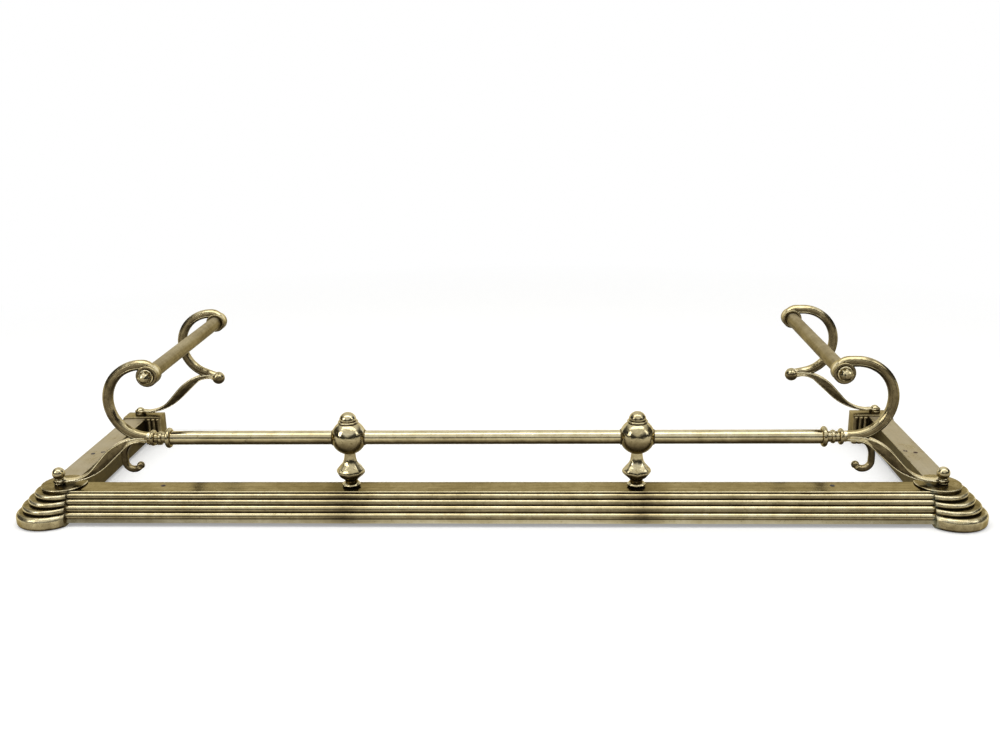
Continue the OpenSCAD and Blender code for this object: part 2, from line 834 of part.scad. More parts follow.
module left_side_tie_rod() {
    left_side() right_side_tie_rod();
}

// Side view of a collar: large ring, cove, bead and small ring, from the rail to the scroll
module collar_side() {
    big_w = 7;
    bead_w = 8;
    small_w = 6;
    neck_in = 7;         // neck, small ring and bead, counted in from the large ring
    small_in = 3;
    bead_in = 8.5;
    bead_gap = 4;        // between the large ring and the bead
    end_l = 2;           // neck left beyond the small ring
    neck = collar_d / 2 - neck_in;
    big = collar_d / 2 - big_w / 2;
    small = collar_d / 2 - small_in - small_w / 2;
    bead_at = big_w + bead_gap + bead_w / 2;
    small_at = collar_l - end_l - small_w / 2;
    square([neck, collar_l]);
    square([big, big_w]);
    translate([big, big_w / 2]) circle(d = big_w);
    translate([collar_d / 2 - bead_in, bead_at]) circle(d = bead_w);
    translate([0, small_at - small_w / 2]) square([small, small_w]);
    translate([small, small_at]) circle(d = small_w);
}

module right_collar() {
    color(brass) translate([collar_face_x, rail_y, rail_z]) difference() {
        rotate([0, 90, 0]) rotate_extrude() collar_side();
        translate([-cut, 0, 0]) bar_x(rod_d + 2 * fit_gap, collar_l + 2 * cut);
        translate([-cut, 0, 0]) bar_x(tube_d + 2 * socket_gap, tube_seat + cut);
    }
}

module left_collar() {
    left_side() right_collar();
}

// ---- balusters -----------------------------------------------------------------

module right_ball() {
    across = 2 * (ball_side - ball_seat);
    color(brass) translate([baluster_x, rail_y, rail_z]) difference() {
        intersection() {
            sphere(r = ball_r);
            box([-ball_side, -ball_r, -ball_down], [ball_side, ball_r, ball_up]);
        }
        translate([-ball_r, 0, 0]) bar_x(rod_d + 2 * fit_gap, 2 * ball_r);
        translate([across / 2, 0, 0]) bar_x(tube_d + 2 * socket_gap, ball_r);
        translate([-across / 2 - ball_r, 0, 0]) bar_x(tube_d + 2 * socket_gap, ball_r);
        bar_z(0, 0, stud_hole_d, -ball_r, stud_top + end_gap - rail_z);
        bar_z(0, 0, finial_stub_d + 2 * fit_gap, stub_bottom - end_gap - rail_z, ball_r);
    }
}

module left_ball() {
    left_side() right_ball();
}

module ferrule(x) {
    translate([x, rail_y, rail_z]) difference() {
        bar_x(2 * ferrule_r, ferrule_w);
        translate([-cut, 0, 0]) bar_x(tube_d + 2 * socket_gap, ferrule_w + 2 * cut);
    }
}

module ball_ferrules() {
    color(brass) both_sides() {
        ferrule(baluster_x + ball_side);
        ferrule(baluster_x - ball_side - ferrule_w);
    }
}

module right_finial() {
    groove_z = ball_top + finial_ring_h;
    side_z = groove_z + finial_groove_h;
    dome_z = side_z + finial_side_h;
    color(brass) translate([baluster_x, rail_y, 0]) {
        bar_z(0, 0, finial_stub_d, stub_bottom, ball_top + cut);
        bar_z(0, 0, 2 * (dome_r + finial_ring_out), ball_top, groove_z);
        bar_z(0, 0, 2 * (dome_r - finial_groove_in), ball_top + cut, side_z + cut);
        bar_z(0, 0, 2 * dome_r, side_z, dome_z);
        intersection() {
            translate([0, 0, dome_z]) sphere(r = dome_r);
            box([-dome_r, -dome_r, dome_z], [dome_r, dome_r, dome_z + dome_r]);
        }
    }
}

module left_finial() {
    left_side() right_finial();
}

module right_vase() {
    neck = neck_r * flat_share;
    knop = knop_r * flat_share;
    stem = stem_r * flat_share;
    knop_z = ledge_h + foot_h + neck_l + knop_rise;
    cove_z = foot_top + cove_rise;
    color(brass) translate([baluster_x, rail_y, 0]) difference() {
        eight_sided(3 * knop_r) difference() {
            two_sided([[neck, foot_top], [neck, foot_top + neck_l],
                [knop - knop_in, foot_top + neck_l + knop_low], [knop, knop_z],
                [knop - rim_in, foot_top + neck_l + rim_rise], [stem, cove_z],
                [stem, ball_bottom]]);
            translate([stem + cove_r, cove_z]) circle(r = cove_r + cove_bite);
            translate([-stem - cove_r, cove_z]) circle(r = cove_r + cove_bite);
        }
        bar_z(0, 0, stud_hole_d, foot_top - cut, ball_bottom + cut);
    }
}

module left_vase() {
    left_side() right_vase();
}

module right_foot_ring() {
    foot = foot_r * flat_share;
    color(brass) translate([baluster_x, rail_y, 0]) difference() {
        eight_sided(3 * foot_r)
            two_sided([[foot - foot_in, ledge_h], [foot, ledge_h + foot_h / 2],
                [foot - foot_in, foot_top]]);
        bar_z(0, 0, stud_hole_d, ledge_h - cut, foot_top + cut);
    }
}

module left_foot_ring() {
    left_side() right_foot_ring();
}

module right_stud() {
    low = core_bottom - washer_t - nut_h - bolt_end;
    color(iron) bar_z(baluster_x, rail_y, stud_d, low, stud_top);
}

module left_stud() {
    left_side() right_stud();
}

// ---- bolts, nuts and washers ---------------------------------------------------

module right_corner_bolt() {
    flange_h = 1.5;
    flange_r = 6.5;
    ball_sink = 0.5;
    ball_z = pad_top + bolt_ball_r - ball_sink;
    low = strap_bottom - washer_t - nut_h - bolt_end;
    color(brass) {
        intersection() {
            translate([bolt_x, rail_y, ball_z]) sphere(r = bolt_ball_r);
            translate([bolt_x, rail_y, pad_top + bolt_ball_r])
                cube(2 * bolt_ball_r, center = true);
        }
        bar_z(bolt_x, rail_y, 2 * flange_r, pad_top, pad_top + flange_h);
        bar_z(bolt_x, rail_y, bolt_d, low, pad_top + cut);
    }
}

module left_corner_bolt() {
    left_side() right_corner_bolt();
}

module corner_spacer() {
    edge = spacer_h / 2;
    r = pad_r - spacer_in;
    translate([bolt_x, rail_y, plate_top]) difference() {
        rotate_extrude() {
            square([r - edge, spacer_h]);
            translate([r - edge, edge]) circle(r = edge);
        }
        bar_z(0, 0, bolt_hole_d, -cut, spacer_h + cut);
    }
}

module corner_spacers() {
    color(brass) both_sides() corner_spacer();
}

module right_rear_bolt() {
    head_r = 7;
    head_h = 5;
    head_ball = (head_r * head_r + head_h * head_h) / (2 * head_h);
    low = core_bottom - washer_t - nut_h - bolt_end;
    color(brass) {
        translate([bolt_x, rear_y, pad_top]) intersection() {
            translate([0, 0, head_h - head_ball]) sphere(r = head_ball);
            box([-head_r, -head_r, 0], [head_r, head_r, head_h + cut]);
        }
        bar_z(bolt_x, rear_y, bolt_d, low, pad_top + cut);
    }
}

module left_rear_bolt() {
    left_side() right_rear_bolt();
}

// Facetted cap nut on a round flange, in front of an eye
module right_eye_nut() {
    flange_t = 2;
    flange_out = 1;
    body = (eye_nut_r - flange_out) * flat_share;
    top = eye_nut_l - flange_t;
    side_l = 4.2;        // straight sides of the nut
    shoulder = [body - 2, 8.6];
    tip = 2.4;           // half width of the flat at its tip
    color(brass) translate([bolt_x + eye_x, rail_y - eye_d / 2, eye_z]) rotate([90, 0, 0])
        difference() {
            union() {
                cylinder(r = eye_nut_r, h = flange_t);
                translate([0, 0, flange_t]) eight_sided(3 * eye_nut_r)
                    two_sided([[body, 0], [body, side_l], shoulder, [tip, top]]);
            }
            bar_z(0, 0, rod_d + 2 * fit_gap, -cut, front_rod_out + end_gap);
        }
}

module left_eye_nut() {
    left_side() right_eye_nut();
}

module rear_eye_nut() {
    translate([bolt_x + eye_x, rear_y + eye_d / 2, eye_z]) rotate([-90, 0, 0]) difference() {
        cylinder(r = rear_nut_r, h = rear_nut_l, $fn = 6);
        bar_z(0, 0, rod_d + 2 * fit_gap, -cut, rear_rod_out + end_gap);
    }
}

module rear_eye_nuts() {
    color(iron) both_sides() rear_eye_nut();
}

// Hexagon nut, its upper face at z
module hex_nut(x, y, z) {
    translate([x, y, z - nut_h]) difference() {
        cylinder(r = nut_r, h = nut_h, $fn = 6);
        bar_z(0, 0, bolt_hole_d, -cut, nut_h + cut);
    }
}

module hex_nuts() {
    color(iron) both_sides() {
        hex_nut(bolt_x, rail_y, strap_bottom - washer_t);
        hex_nut(baluster_x, rail_y, core_bottom - washer_t);
        hex_nut(bolt_x, rear_y, core_bottom - washer_t);
    }
}

// Washer, its upper face at z
module washer(x, y, z) {
    translate([x, y, z - washer_t]) difference() {
        cylinder(r = washer_r, h = washer_t);
        bar_z(0, 0, bolt_hole_d, -cut, washer_t + cut);
    }
}

module washers() {
    color(iron) both_sides() {
        washer(bolt_x, rail_y, strap_bottom);
        washer(baluster_x, rail_y, core_bottom);
        washer(bolt_x, rear_y, core_bottom);
    }
}

// ---- nodes ---------------------------------------------------------------------

front_moulding();
left_moulding();
right_moulding();
left_corner();
right_corner();
left_rear_block();
right_rear_block();
front_core();
left_core();
right_core();
left_corner_strap();
right_corner_strap();
left_front_scroll();
right_front_scroll();
left_rear_scroll();
right_rear_scroll();
left_rail_tube();
middle_rail_tube();
right_rail_tube();
left_side_rail();
right_side_rail();
front_tie_rod();
left_side_tie_rod();
right_side_tie_rod();
left_collar();
right_collar();
left_ball();
right_ball();
ball_ferrules();
left_finial();
right_finial();
left_vase();
right_vase();
left_foot_ring();
right_foot_ring();
left_stud();
right_stud();
left_corner_bolt();
right_corner_bolt();
corner_spacers();
left_rear_bolt();
right_rear_bolt();
left_eye_nut();
right_eye_nut();
rear_eye_nuts();
hex_nuts();
washers();
ledge_screws();
strap_screws();
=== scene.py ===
from math import asin, atan2, cos, degrees, pi, radians, sin, sqrt, tan
import bmesh
import bpy
from mathutils import Matrix, Vector


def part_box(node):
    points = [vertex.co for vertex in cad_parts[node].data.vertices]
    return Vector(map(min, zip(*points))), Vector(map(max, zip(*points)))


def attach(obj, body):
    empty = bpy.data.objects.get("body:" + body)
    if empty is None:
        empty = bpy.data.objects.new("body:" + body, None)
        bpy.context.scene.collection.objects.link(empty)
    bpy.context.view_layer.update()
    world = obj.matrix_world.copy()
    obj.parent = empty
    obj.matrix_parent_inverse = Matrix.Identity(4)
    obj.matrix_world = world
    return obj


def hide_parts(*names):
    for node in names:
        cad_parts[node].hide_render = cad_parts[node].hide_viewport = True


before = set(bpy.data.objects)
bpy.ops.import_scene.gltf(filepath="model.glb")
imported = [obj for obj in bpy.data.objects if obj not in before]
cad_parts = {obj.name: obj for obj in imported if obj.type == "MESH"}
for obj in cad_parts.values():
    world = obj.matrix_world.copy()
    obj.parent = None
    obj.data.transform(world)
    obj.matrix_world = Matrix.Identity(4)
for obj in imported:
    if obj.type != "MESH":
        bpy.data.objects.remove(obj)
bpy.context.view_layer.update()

mm = 0.001
weld = 0.02 * mm  # points nearer than this become one
far = 0.1  # in metres, past the end of any casting
bendStep = 4  # degrees between the sections of a bent bar
across = Vector((1, 0, 0))
back = Vector((0, 1, 0))
up = Vector((0, 0, 1))


# selecting and shaping

def free():
    active = bpy.context.object
    if active and active.mode != "OBJECT":
        bpy.ops.object.mode_set(mode="OBJECT")
    bpy.ops.object.select_all(action="DESELECT")


def take(piece):
    free()
    piece.select_set(True)
    bpy.context.view_layer.objects.active = piece


def edit(piece):
    take(piece)
    bpy.ops.object.mode_set(mode="EDIT")
    bpy.ops.mesh.select_all(action="SELECT")


def applyPlace(piece):  # place, turn and scale go into the mesh
    take(piece)
    bpy.ops.object.transform_apply(location=True, rotation=True, scale=True)


def modify(piece, kind, **settings):
    take(piece)
    modifier = piece.modifiers.new(kind.lower(), kind)
    for key, value in settings.items():
        setattr(modifier, key, value)
    bpy.ops.object.modifier_apply(modifier=modifier.name)


def middleOf(node):
    low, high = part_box(node)
    return (low + high) / 2


def under(node):  # the spot on the floor below it
    middle = middleOf(node)
    return Vector((middle.x, middle.y, 0))


def heights(node):
    return [edge.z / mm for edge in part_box(node)]


def arc(middle, radius, start, end, steps=8):  # points of a round stretch, in degrees
    turns = [radians(start + (end - start) * i / steps) for i in range(steps + 1)]
    return [(middle[0] + radius * cos(t), middle[1] + radius * sin(t)) for t in turns]


def rim(radius, low, high, steps=8):  # an edge that is round from low to high
    half = (high - low) / 2
    return arc((radius - half, low + half), half, -90, 90, steps)


def disc(radius, low, high):
    return [(0, low), (radius, low), (radius, high), (0, high)]


def extrude(by):
    bpy.ops.mesh.extrude_region_move(TRANSFORM_OT_translate={"value": by})


def wire(name, points, closed=False):  # one corner, extruded from point to point
    free()
    bpy.ops.mesh.primitive_plane_add(size=mm, location=points[0])
    piece = bpy.context.object
    piece.name = piece.data.name = name
    edit(piece)
    bpy.ops.mesh.merge(type="CENTER")
    for here, there in zip(points, points[1:]):
        extrude(there - here)
    bpy.ops.mesh.select_all(action="SELECT")
    if closed:
        bpy.ops.mesh.edge_face_add()
    return piece


def closeSkin():  # one closed skin that faces out
    bpy.ops.mesh.select_all(action="SELECT")
    bpy.ops.mesh.remove_doubles(threshold=weld)
    bpy.ops.mesh.normals_make_consistent(inside=False)


def heal(piece):
    edit(piece)
    closeSkin()
    free()


def cutAlong(piece, axis, cuts):  # cross cuts, so that a long piece can wave
    bpy.ops.mesh.select_mode(type="EDGE")
    bpy.ops.mesh.select_all(action="DESELECT")
    mesh = bmesh.from_edit_mesh(piece.data)
    for edge in mesh.edges:
        line = edge.verts[1].co - edge.verts[0].co
        edge.select_set(line.length > 0 and abs(line.normalized().dot(axis)) > 0.999)
    bmesh.update_edit_mesh(piece.data)
    bpy.ops.mesh.subdivide(number_cuts=cuts)
    bpy.ops.mesh.select_mode(type="VERT")


def turned(name, profile, base, axis=up, side=-back, steps=64):  # profile: radius, height
    piece = wire(name, [base + axis * (h * mm) + side * (r * mm) for r, h in profile])
    bpy.ops.mesh.spin(steps=steps, angle=2 * pi, center=base, axis=axis)
    closeSkin()
    free()
    return piece


def drawn(name, outline, length, cuts=0):  # a flat outline, extruded to its length
    piece = wire(name, outline, closed=True)
    extrude(length)
    closeSkin()
    if cuts:
        cutAlong(piece, length.normalized(), cuts)
    free()
    return piece


def swept(name, section, start, heading, moves):  # a bar bent in the plane of a scroll
    ahead = Vector((cos(radians(heading)), 0, sin(radians(heading))))
    left = Vector((-ahead.z, 0, ahead.x))
    at = start.copy()
    piece = wire(name, [at + left * (w * mm) + back * (d * mm) for w, d in section], closed=True)
    for radius, amount in moves:  # radius 0 runs straight, below 0 bends right
        if radius == 0:
            extrude(ahead * (amount * mm))
            at += ahead * (amount * mm)
            continue
        centre = at + left * (radius * mm)
        turn = amount if radius > 0 else -amount
        bpy.ops.mesh.spin(steps=max(4, round(amount / bendStep)), angle=radians(turn),
                          center=centre, axis=back)
        bend = Matrix.Rotation(radians(-turn), 3, "Y")
        at = centre + bend @ (at - centre)
        ahead = bend @ ahead
        left = bend @ left
    closeSkin()
    free()
    return piece


def cubeCutter(low, high):
    free()
    bpy.ops.mesh.primitive_cube_add(size=1, location=(low + high) / 2)
    cutter = bpy.context.object
    cutter.scale = high - low
    applyPlace(cutter)
    return cutter


def cutAway(piece, cutter):
    modify(piece, "BOOLEAN", object=cutter, operation="DIFFERENCE", solver="EXACT", use_self=True)
    bpy.data.objects.remove(cutter, do_unlink=True)


def trim(piece, point, away):  # cuts off what lies beyond a plane
    edit(piece)
    bpy.ops.mesh.bisect(plane_co=point, plane_no=away, use_fill=True, clear_outer=True)
    closeSkin()
    free()


def joined(name, pieces):
    free()
    for piece in pieces:
        piece.select_set(True)
    bpy.context.view_layer.objects.active = pieces[0]
    bpy.ops.object.join()
    pieces[0].name = pieces[0].data.name = name
    return pieces[0]


def dent(piece, depth, size):  # uneven surface of old metal
    texture = bpy.data.textures.new(piece.name + "Dents", "CLOUDS")
    texture.noise_scale = size
    texture.noise_depth = 1
    modify(piece, "DISPLACE", texture=texture, strength=depth, mid_level=0.5)


def settle(piece, smooth, round=0, corner=25):  # rounded edges, place kept in the mesh
    if round:
        modify(piece, "BEVEL", width=round * mm, segments=2, limit_method="ANGLE",
               angle_limit=radians(corner), harden_normals=False)
        heal(piece)
    applyPlace(piece)
    bpy.ops.object.shade_smooth_by_angle(angle=radians(smooth))
    return piece


def mirror(piece):
    piece.scale.x = -1
    applyPlace(piece)
    edit(piece)
    bpy.ops.mesh.normals_make_consistent(inside=False)
    free()
    return piece


def twin(piece, name):  # the same on the left-hand side
    take(piece)
    bpy.ops.object.duplicate()
    copy = bpy.context.object
    copy.name = copy.data.name = name
    return mirror(copy)


def dress(piece, metal, node):
    piece.data.materials.clear()
    piece.data.materials.append(metal)
    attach(piece, "root")
    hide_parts(node)


def dressPair(right, metal, node):  # a right-hand piece and its twin
    left = twin(right, right.name.replace("right", "left"))
    dress(right, metal, "right_" + node)
    dress(left, metal, "left_" + node)


# materials

class Signal:  # an output socket that can be reckoned with
    def __init__(self, paint, socket):
        self.paint = paint
        self.socket = socket

    def reckon(self, operation, first, second=0.0, clamp=False):
        return self.paint.node("Math", {0: first, 1: second}, operation=operation,
                               use_clamp=clamp)

    def __add__(self, other):
        return self.reckon("ADD", self, other)

    def __radd__(self, other):
        return self.reckon("ADD", other, self)

    def __sub__(self, other):
        return self.reckon("SUBTRACT", self, other)

    def __rsub__(self, other):
        return self.reckon("SUBTRACT", other, self)

    def __mul__(self, other):
        return self.reckon("MULTIPLY", self, other)

    def __truediv__(self, other):
        return self.reckon("DIVIDE", self, other)

    def __pow__(self, other):
        return self.reckon("POWER", self, other)

    def limited(self):  # held between 0 and 1
        return self.reckon("ADD", self, 0.0, True)

    def size(self):
        return self.reckon("ABSOLUTE", self)

    def between(self, low, high):  # 0 below low, 1 above high
        return ((self - low) / (high - low)).limited()


class Paint:  # a material, or the world, and its nodes
    def __init__(self, name, library=bpy.data.materials):
        self.material = library.new(name)
        self.material.use_nodes = True
        self.tree = self.material.node_tree
        self.tree.nodes.clear()

    def node(self, kind, inputs, output=0, **settings):
        made = self.tree.nodes.new("ShaderNode" + kind)
        for key, value in settings.items():
            if key == "stops":
                self.setStops(made.color_ramp, value)
            else:
                setattr(made, key, value)
        for key, value in inputs.items():
            if isinstance(value, Signal):
                self.tree.links.new(value.socket, made.inputs[key])
            elif made.inputs[key].type == "RGBA":
                made.inputs[key].default_value = (*value, 1)
            else:
                made.inputs[key].default_value = value
        return Signal(self, made.outputs[output]) if len(made.outputs) else made

    def setStops(self, ramp, stops):
        while len(ramp.elements) < len(stops):
            ramp.elements.new(0.5)
        for element, (position, colour) in zip(ramp.elements, stops):
            element.position = position
            element.color = (*colour, 1)

    def noise(self, place, scale, detail, roughness, distortion=0.0):
        return self.node("TexNoise", {"Vector": place, "Scale": scale, "Detail": detail,
                                      "Roughness": roughness, "Distortion": distortion})

    def mix(self, share, first, second):  # colours
        return self.node("Mix", {0: share, 6: first, 7: second}, 2, data_type="RGBA")

    def parts(self, place):  # x, y and z of a vector
        made = self.node("SeparateXYZ", {0: place})
        return [Signal(self, socket) for socket in made.socket.node.outputs]

    def coordinates(self, kind):
        return self.node("TexCoord", {}, kind)

    def crowding(self, reach, samples, inside):  # 1 in the open, 0 where walls are near
        return self.node("AmbientOcclusion", {"Distance": reach * mm}, "AO",
                         samples=samples, inside=inside)

    def finish(self, surface):
        self.node("OutputMaterial", {"Surface": surface})
        return self.material


brassTones = (
    (0.00, (0.012, 0.008, 0.004)),  # grime, and the deepest painted shade
    (0.22, (0.050, 0.036, 0.016)),
    (0.42, (0.142, 0.108, 0.052)),  # dark tarnish, and painted shade on undersides
    (0.60, (0.300, 0.243, 0.128)),
    (0.78, (0.520, 0.440, 0.245)),  # worn by hands and cloths, and painted light on upper faces
    (1.00, (0.820, 0.740, 0.510)),  # polished, and painted highlight
)
verdigris = (0.20, 0.25, 0.21)
grime = (0.050, 0.042, 0.026)
dust = (0.46, 0.41, 0.335)
grains = {  # scale, detail, roughness and distortion
    "clouds": (11, 5, 0.6), "mottle": (70, 6, 0.62, 0.4), "specks": (360, 3, 0.6),
    "streaks": (240, 5, 0.65), "ragged": (160, 5, 0.65), "scale": (90, 8, 0.65),
    "rust": (26, 6, 0.6, 0.5),
}
# shared settings of tarnish and painted shade; levelAt picks faces turned straight up, which level
# paints darker as painted shade
patinaAndShade = dict(hollowSamples=12, edgeSamples=8, edgeAt=(0.50, 0.82), levelAt=(0.90, 0.99),
              specksAt=(0.60, 0.72), speckDark=0.16, footShadeAndTarnishFall=1.5, dirtyBelow=0.5, dirtRough=0.30,
              mottleRough=0.18, streakRough=0.12, cloudRough=0.10, dirtDull=0.3, cloudRelief=0.3,
              speckRelief=0.04, relief=1.8, specular=0.12, tint=(0.80, 0.70, 0.48))
crusted = dict(ragged=7, solid=0.3, at=(0.35, 0.65), rough=0.4, dull=0.6)
dusted = dict(at=(0.45, 0.95), even=0.7, rough=0.5, dull=0.8)


def agedBrassWithPaintedShade(name, look):
    paint = Paint(name)
    place = paint.coordinates("Object")
    sideways, _, height = paint.parts(place)
    # facingUp is how far a face turns up; it sets the painted light and shade below, and where
    # dust settles
    facingUp = paint.parts(paint.coordinates("Normal"))[2]
    clouds = paint.noise(place, *grains["clouds"]) - 0.5
    mottle = paint.noise(place, *grains["mottle"]) - 0.5
    specks = paint.noise(place, *grains["specks"])
    stretched = paint.node("Mapping", {"Vector": place, "Scale": look["grain"]})
    streaks = paint.noise(stretched, *grains["streaks"]) - 0.5
    # hollows and gaps between parts are darker: tarnish lodged there, and painted shade
    openness = paint.crowding(look["hollowReach"], patinaAndShade["hollowSamples"], False)
    solidity = paint.crowding(look["edgeReach"], patinaAndShade["edgeSamples"], True)
    hollow = (1.0 - openness).between(look["hollowFrom"], look["hollowTo"])
    edge = (1.0 - solidity).between(*patinaAndShade["edgeAt"])
    # painted light and shade: faces turned up are lighter and faces turned down darker (darkAt,
    # brightAt, turn), and faces turned straight up darker (level); hollows darker from tarnish and
    # painted shade; edges worn lighter; the rest is tarnish varying at random
    tone = (look["tone"] + facingUp.between(look["darkAt"], look["brightAt"]) * look["turn"]
            + clouds * look["clouds"] + mottle * look["mottle"] + streaks * look["streaks"]
            + edge * look["edge"] - hollow * look["hollow"]
            - facingUp.between(*patinaAndShade["levelAt"]) * look["level"]
            - specks.between(*patinaAndShade["specksAt"]) * patinaAndShade["speckDark"])
    if "footShadeAndTarnish" in look:  # painted shadow and reflection of the balusters, and tarnish, round their feet
        footShadeAndTarnish = look["footShadeAndTarnish"]
        away = (sideways.size() - footShadeAndTarnish["at"] * mm).size().between(0, footShadeAndTarnish["wide"] * mm)
        tone = tone - (1.0 - away) ** patinaAndShade["footShadeAndTarnishFall"] * footShadeAndTarnish["strength"]
    if "lowDarkening" in look:  # the arms are darker lower down, except at their edges
        lowDarkening = look["lowDarkening"]
        lowDown = 1.0 - height.between(lowDarkening["low"] * mm, lowDarkening["high"] * mm)
        tone = tone - lowDown * (1.0 - edge) * lowDarkening["strength"]
    tone = tone.limited()
    colour = paint.node("ValToRGB", {"Fac": tone}, stops=brassTones)
    dirt = (patinaAndShade["dirtyBelow"] - tone).between(0.0, patinaAndShade["dirtyBelow"])
    rough = (look["rough"] + dirt * patinaAndShade["dirtRough"] + mottle * patinaAndShade["mottleRough"]
             + streaks * patinaAndShade["streakRough"] + clouds * patinaAndShade["cloudRough"]).limited()
    metallic = 1.0 - dirt * patinaAndShade["dirtDull"]
    if "seam" in look:  # dark solder on the left, green on the right
        seam, wide = look["seam"], look["seam"]["wide"] * mm
        ragged = (paint.noise(place, *grains["ragged"]) - 0.5) * (crusted["ragged"] * mm)
        reach = (sideways.size() - seam["at"] * mm + ragged).size()
        crust = ((1.0 - reach.between(wide * crusted["solid"], wide))
                 * (mottle + 0.5).between(*crusted["at"]) * seam["strength"])
        rightHand = sideways.between(-10 * mm, 10 * mm)
        colour = paint.mix(crust, colour, paint.mix(rightHand, grime, verdigris))
        rough = (rough + crust * crusted["rough"]).limited()
        metallic = (metallic - crust * crusted["dull"]).limited()
    if "dust" in look:
        settled = (facingUp.between(*dusted["at"])
                   * (clouds + mottle + dusted["even"]).limited() * look["dust"])
        colour = paint.mix(settled, colour, dust)
        rough = (rough + settled * dusted["rough"]).limited()
        metallic = (metallic - settled * dusted["dull"]).limited()
    relief = (clouds * patinaAndShade["cloudRelief"] + mottle * look["casting"]
              + streaks * look["drawLines"] + specks * patinaAndShade["speckRelief"])
    bump = paint.node("Bump", {"Strength": look["bump"], "Height": relief,
                               "Distance": patinaAndShade["relief"] * mm}, "Normal")
    return paint.finish(paint.node("BsdfPrincipled", {
        "Base Color": colour, "Metallic": metallic, "Roughness": rough, "Normal": bump,
        "Specular IOR Level": patinaAndShade["specular"], "Specular Tint": patinaAndShade["tint"]}))


# in each look, darkAt, brightAt and turn set the painted light and shade by facing, level the
# painted shade on flat tops, hollow the darkening in hollows (tarnish and painted shade)
castLook = dict(grain=(1, 1, 1), hollowReach=9, hollowFrom=0.40, hollowTo=0.85, edgeReach=2.5,
                tone=0.18, turn=0.58, darkAt=-0.45, brightAt=0.60, level=0.10, clouds=0.40,
                mottle=0.52, streaks=0.10, edge=0.30, hollow=0.60, rough=0.15, casting=0.55,
                drawLines=0.0, bump=0.45)
turnedLook = dict(castLook, tone=0.20, turn=0.62, brightAt=0.40, rough=0.08, casting=0.62,
                  bump=0.55, clouds=0.32, mottle=0.44, level=0)
# the ferrules beside the ball are made near black: painted shade
ferruleLook = dict(turnedLook, tone=0.02, turn=0.34, edge=0.1, rough=0.22)
scrollLook = dict(castLook, tone=0.12, turn=0.64, darkAt=-0.40, brightAt=0.55, edge=0.42,
                  edgeReach=2.0, rough=0.17, lowDarkening={"low": 95, "high": 118, "strength": 0.14})
blockLook = dict(castLook, tone=0.34, turn=0.36, darkAt=-0.2, brightAt=0.9, hollow=0.14,
                 edge=0.12, rough=0.28)
sheetLook = dict(castLook, grain=(0.06, 1, 1), tone=0.20, turn=0.64, darkAt=-0.35,
                 brightAt=0.50, level=0.32, clouds=0.26, mottle=0.30, streaks=0.26, edge=0.10,
                 hollow=0.50, hollowFrom=0.34, hollowReach=6, casting=0.10, drawLines=0.16,
                 bump=0.12)
# the ledge is darker round the baluster feet: painted shadow and reflection of the balusters, and
# tarnish
frontLook = dict(sheetLook, seam={"at": 607, "wide": 4, "strength": 0.6},
                 footShadeAndTarnish={"at": 210, "wide": 55, "strength": 0.22})
returnLook = dict(sheetLook, grain=(1, 0.06, 1), tone=0.08, turn=0.72, darkAt=-0.02,
                  level=0.12, mottle=0.38, clouds=0.38, dust=0.6, hollow=0.28)
tubeLook = dict(castLook, grain=(0.05, 1, 1), tone=0.10, turn=0.76, darkAt=-0.55,
                brightAt=0.25, level=0, clouds=0.26, mottle=0.34, streaks=0.34, edge=0.05,
                rough=0.13, casting=0.12, drawLines=0.24, bump=0.14)
sideRailLook = dict(tubeLook, grain=(1, 0.05, 1), tone=0.34, turn=0.34, darkAt=-0.3,
                    brightAt=0.9, clouds=0.40, mottle=0.44, streaks=0.40, rough=0.38, dust=0.35)
cornerLook = dict(castLook, tone=0.22, turn=0.64, darkAt=-0.46, brightAt=0.40, level=0.36,
                  hollow=0.26, hollowReach=8, edge=0.20, rough=0.26, mottle=0.62, clouds=0.56,
                  seam={"at": 607, "wide": 5, "strength": 0.7})

blockBrass = agedBrassWithPaintedShade("blockBrass", blockLook)
turnedBrass = agedBrassWithPaintedShade("turnedBrass", turnedLook)
darkBrass = agedBrassWithPaintedShade("darkBrass", ferruleLook)
scrollBrass = agedBrassWithPaintedShade("scrollBrass", scrollLook)
mouldingBrass = agedBrassWithPaintedShade("mouldingBrass", frontLook)
returnBrass = agedBrassWithPaintedShade("returnBrass", returnLook)
tubeBrass = agedBrassWithPaintedShade("tubeBrass", tubeLook)
paleBrass = agedBrassWithPaintedShade("paleBrass", sideRailLook)
cornerBrass = agedBrassWithPaintedShade("cornerBrass", cornerLook)

ironLook = dict(iron=(0.10, 0.09, 0.085), rust=(0.13, 0.055, 0.025), scale=(0.03, 0.026, 0.024),
                rustAt=(0.50, 0.66), scaleAt=(0.5, 0.75), scaled=0.6, rough=0.48, rustRough=0.35,
                scaleRough=0.3, metallic=0.9, rustDull=0.8, bump=0.5, relief=0.6, rustRelief=0.4)


def oldIron(name, look):
    paint = Paint(name)
    place = paint.coordinates("Object")
    scale = paint.noise(place, *grains["scale"])
    rust = paint.noise(place, *grains["rust"]).between(*look["rustAt"])
    colour = paint.mix(rust, look["iron"], look["rust"])
    colour = paint.mix(scale.between(*look["scaleAt"]) * look["scaled"], colour, look["scale"])
    rough = (look["rough"] + rust * look["rustRough"]
             + (scale - 0.5) * look["scaleRough"]).limited()
    bump = paint.node("Bump", {"Strength": look["bump"], "Distance": look["relief"] * mm,
                               "Height": scale + rust * look["rustRelief"]}, "Normal")
    return paint.finish(paint.node("BsdfPrincipled", {
        "Base Color": colour, "Metallic": look["metallic"] - rust * look["rustDull"],
        "Roughness": rough, "Normal": bump}))


blackIron = oldIron("blackIron", ironLook)
print("materials made")


# reeded mouldings

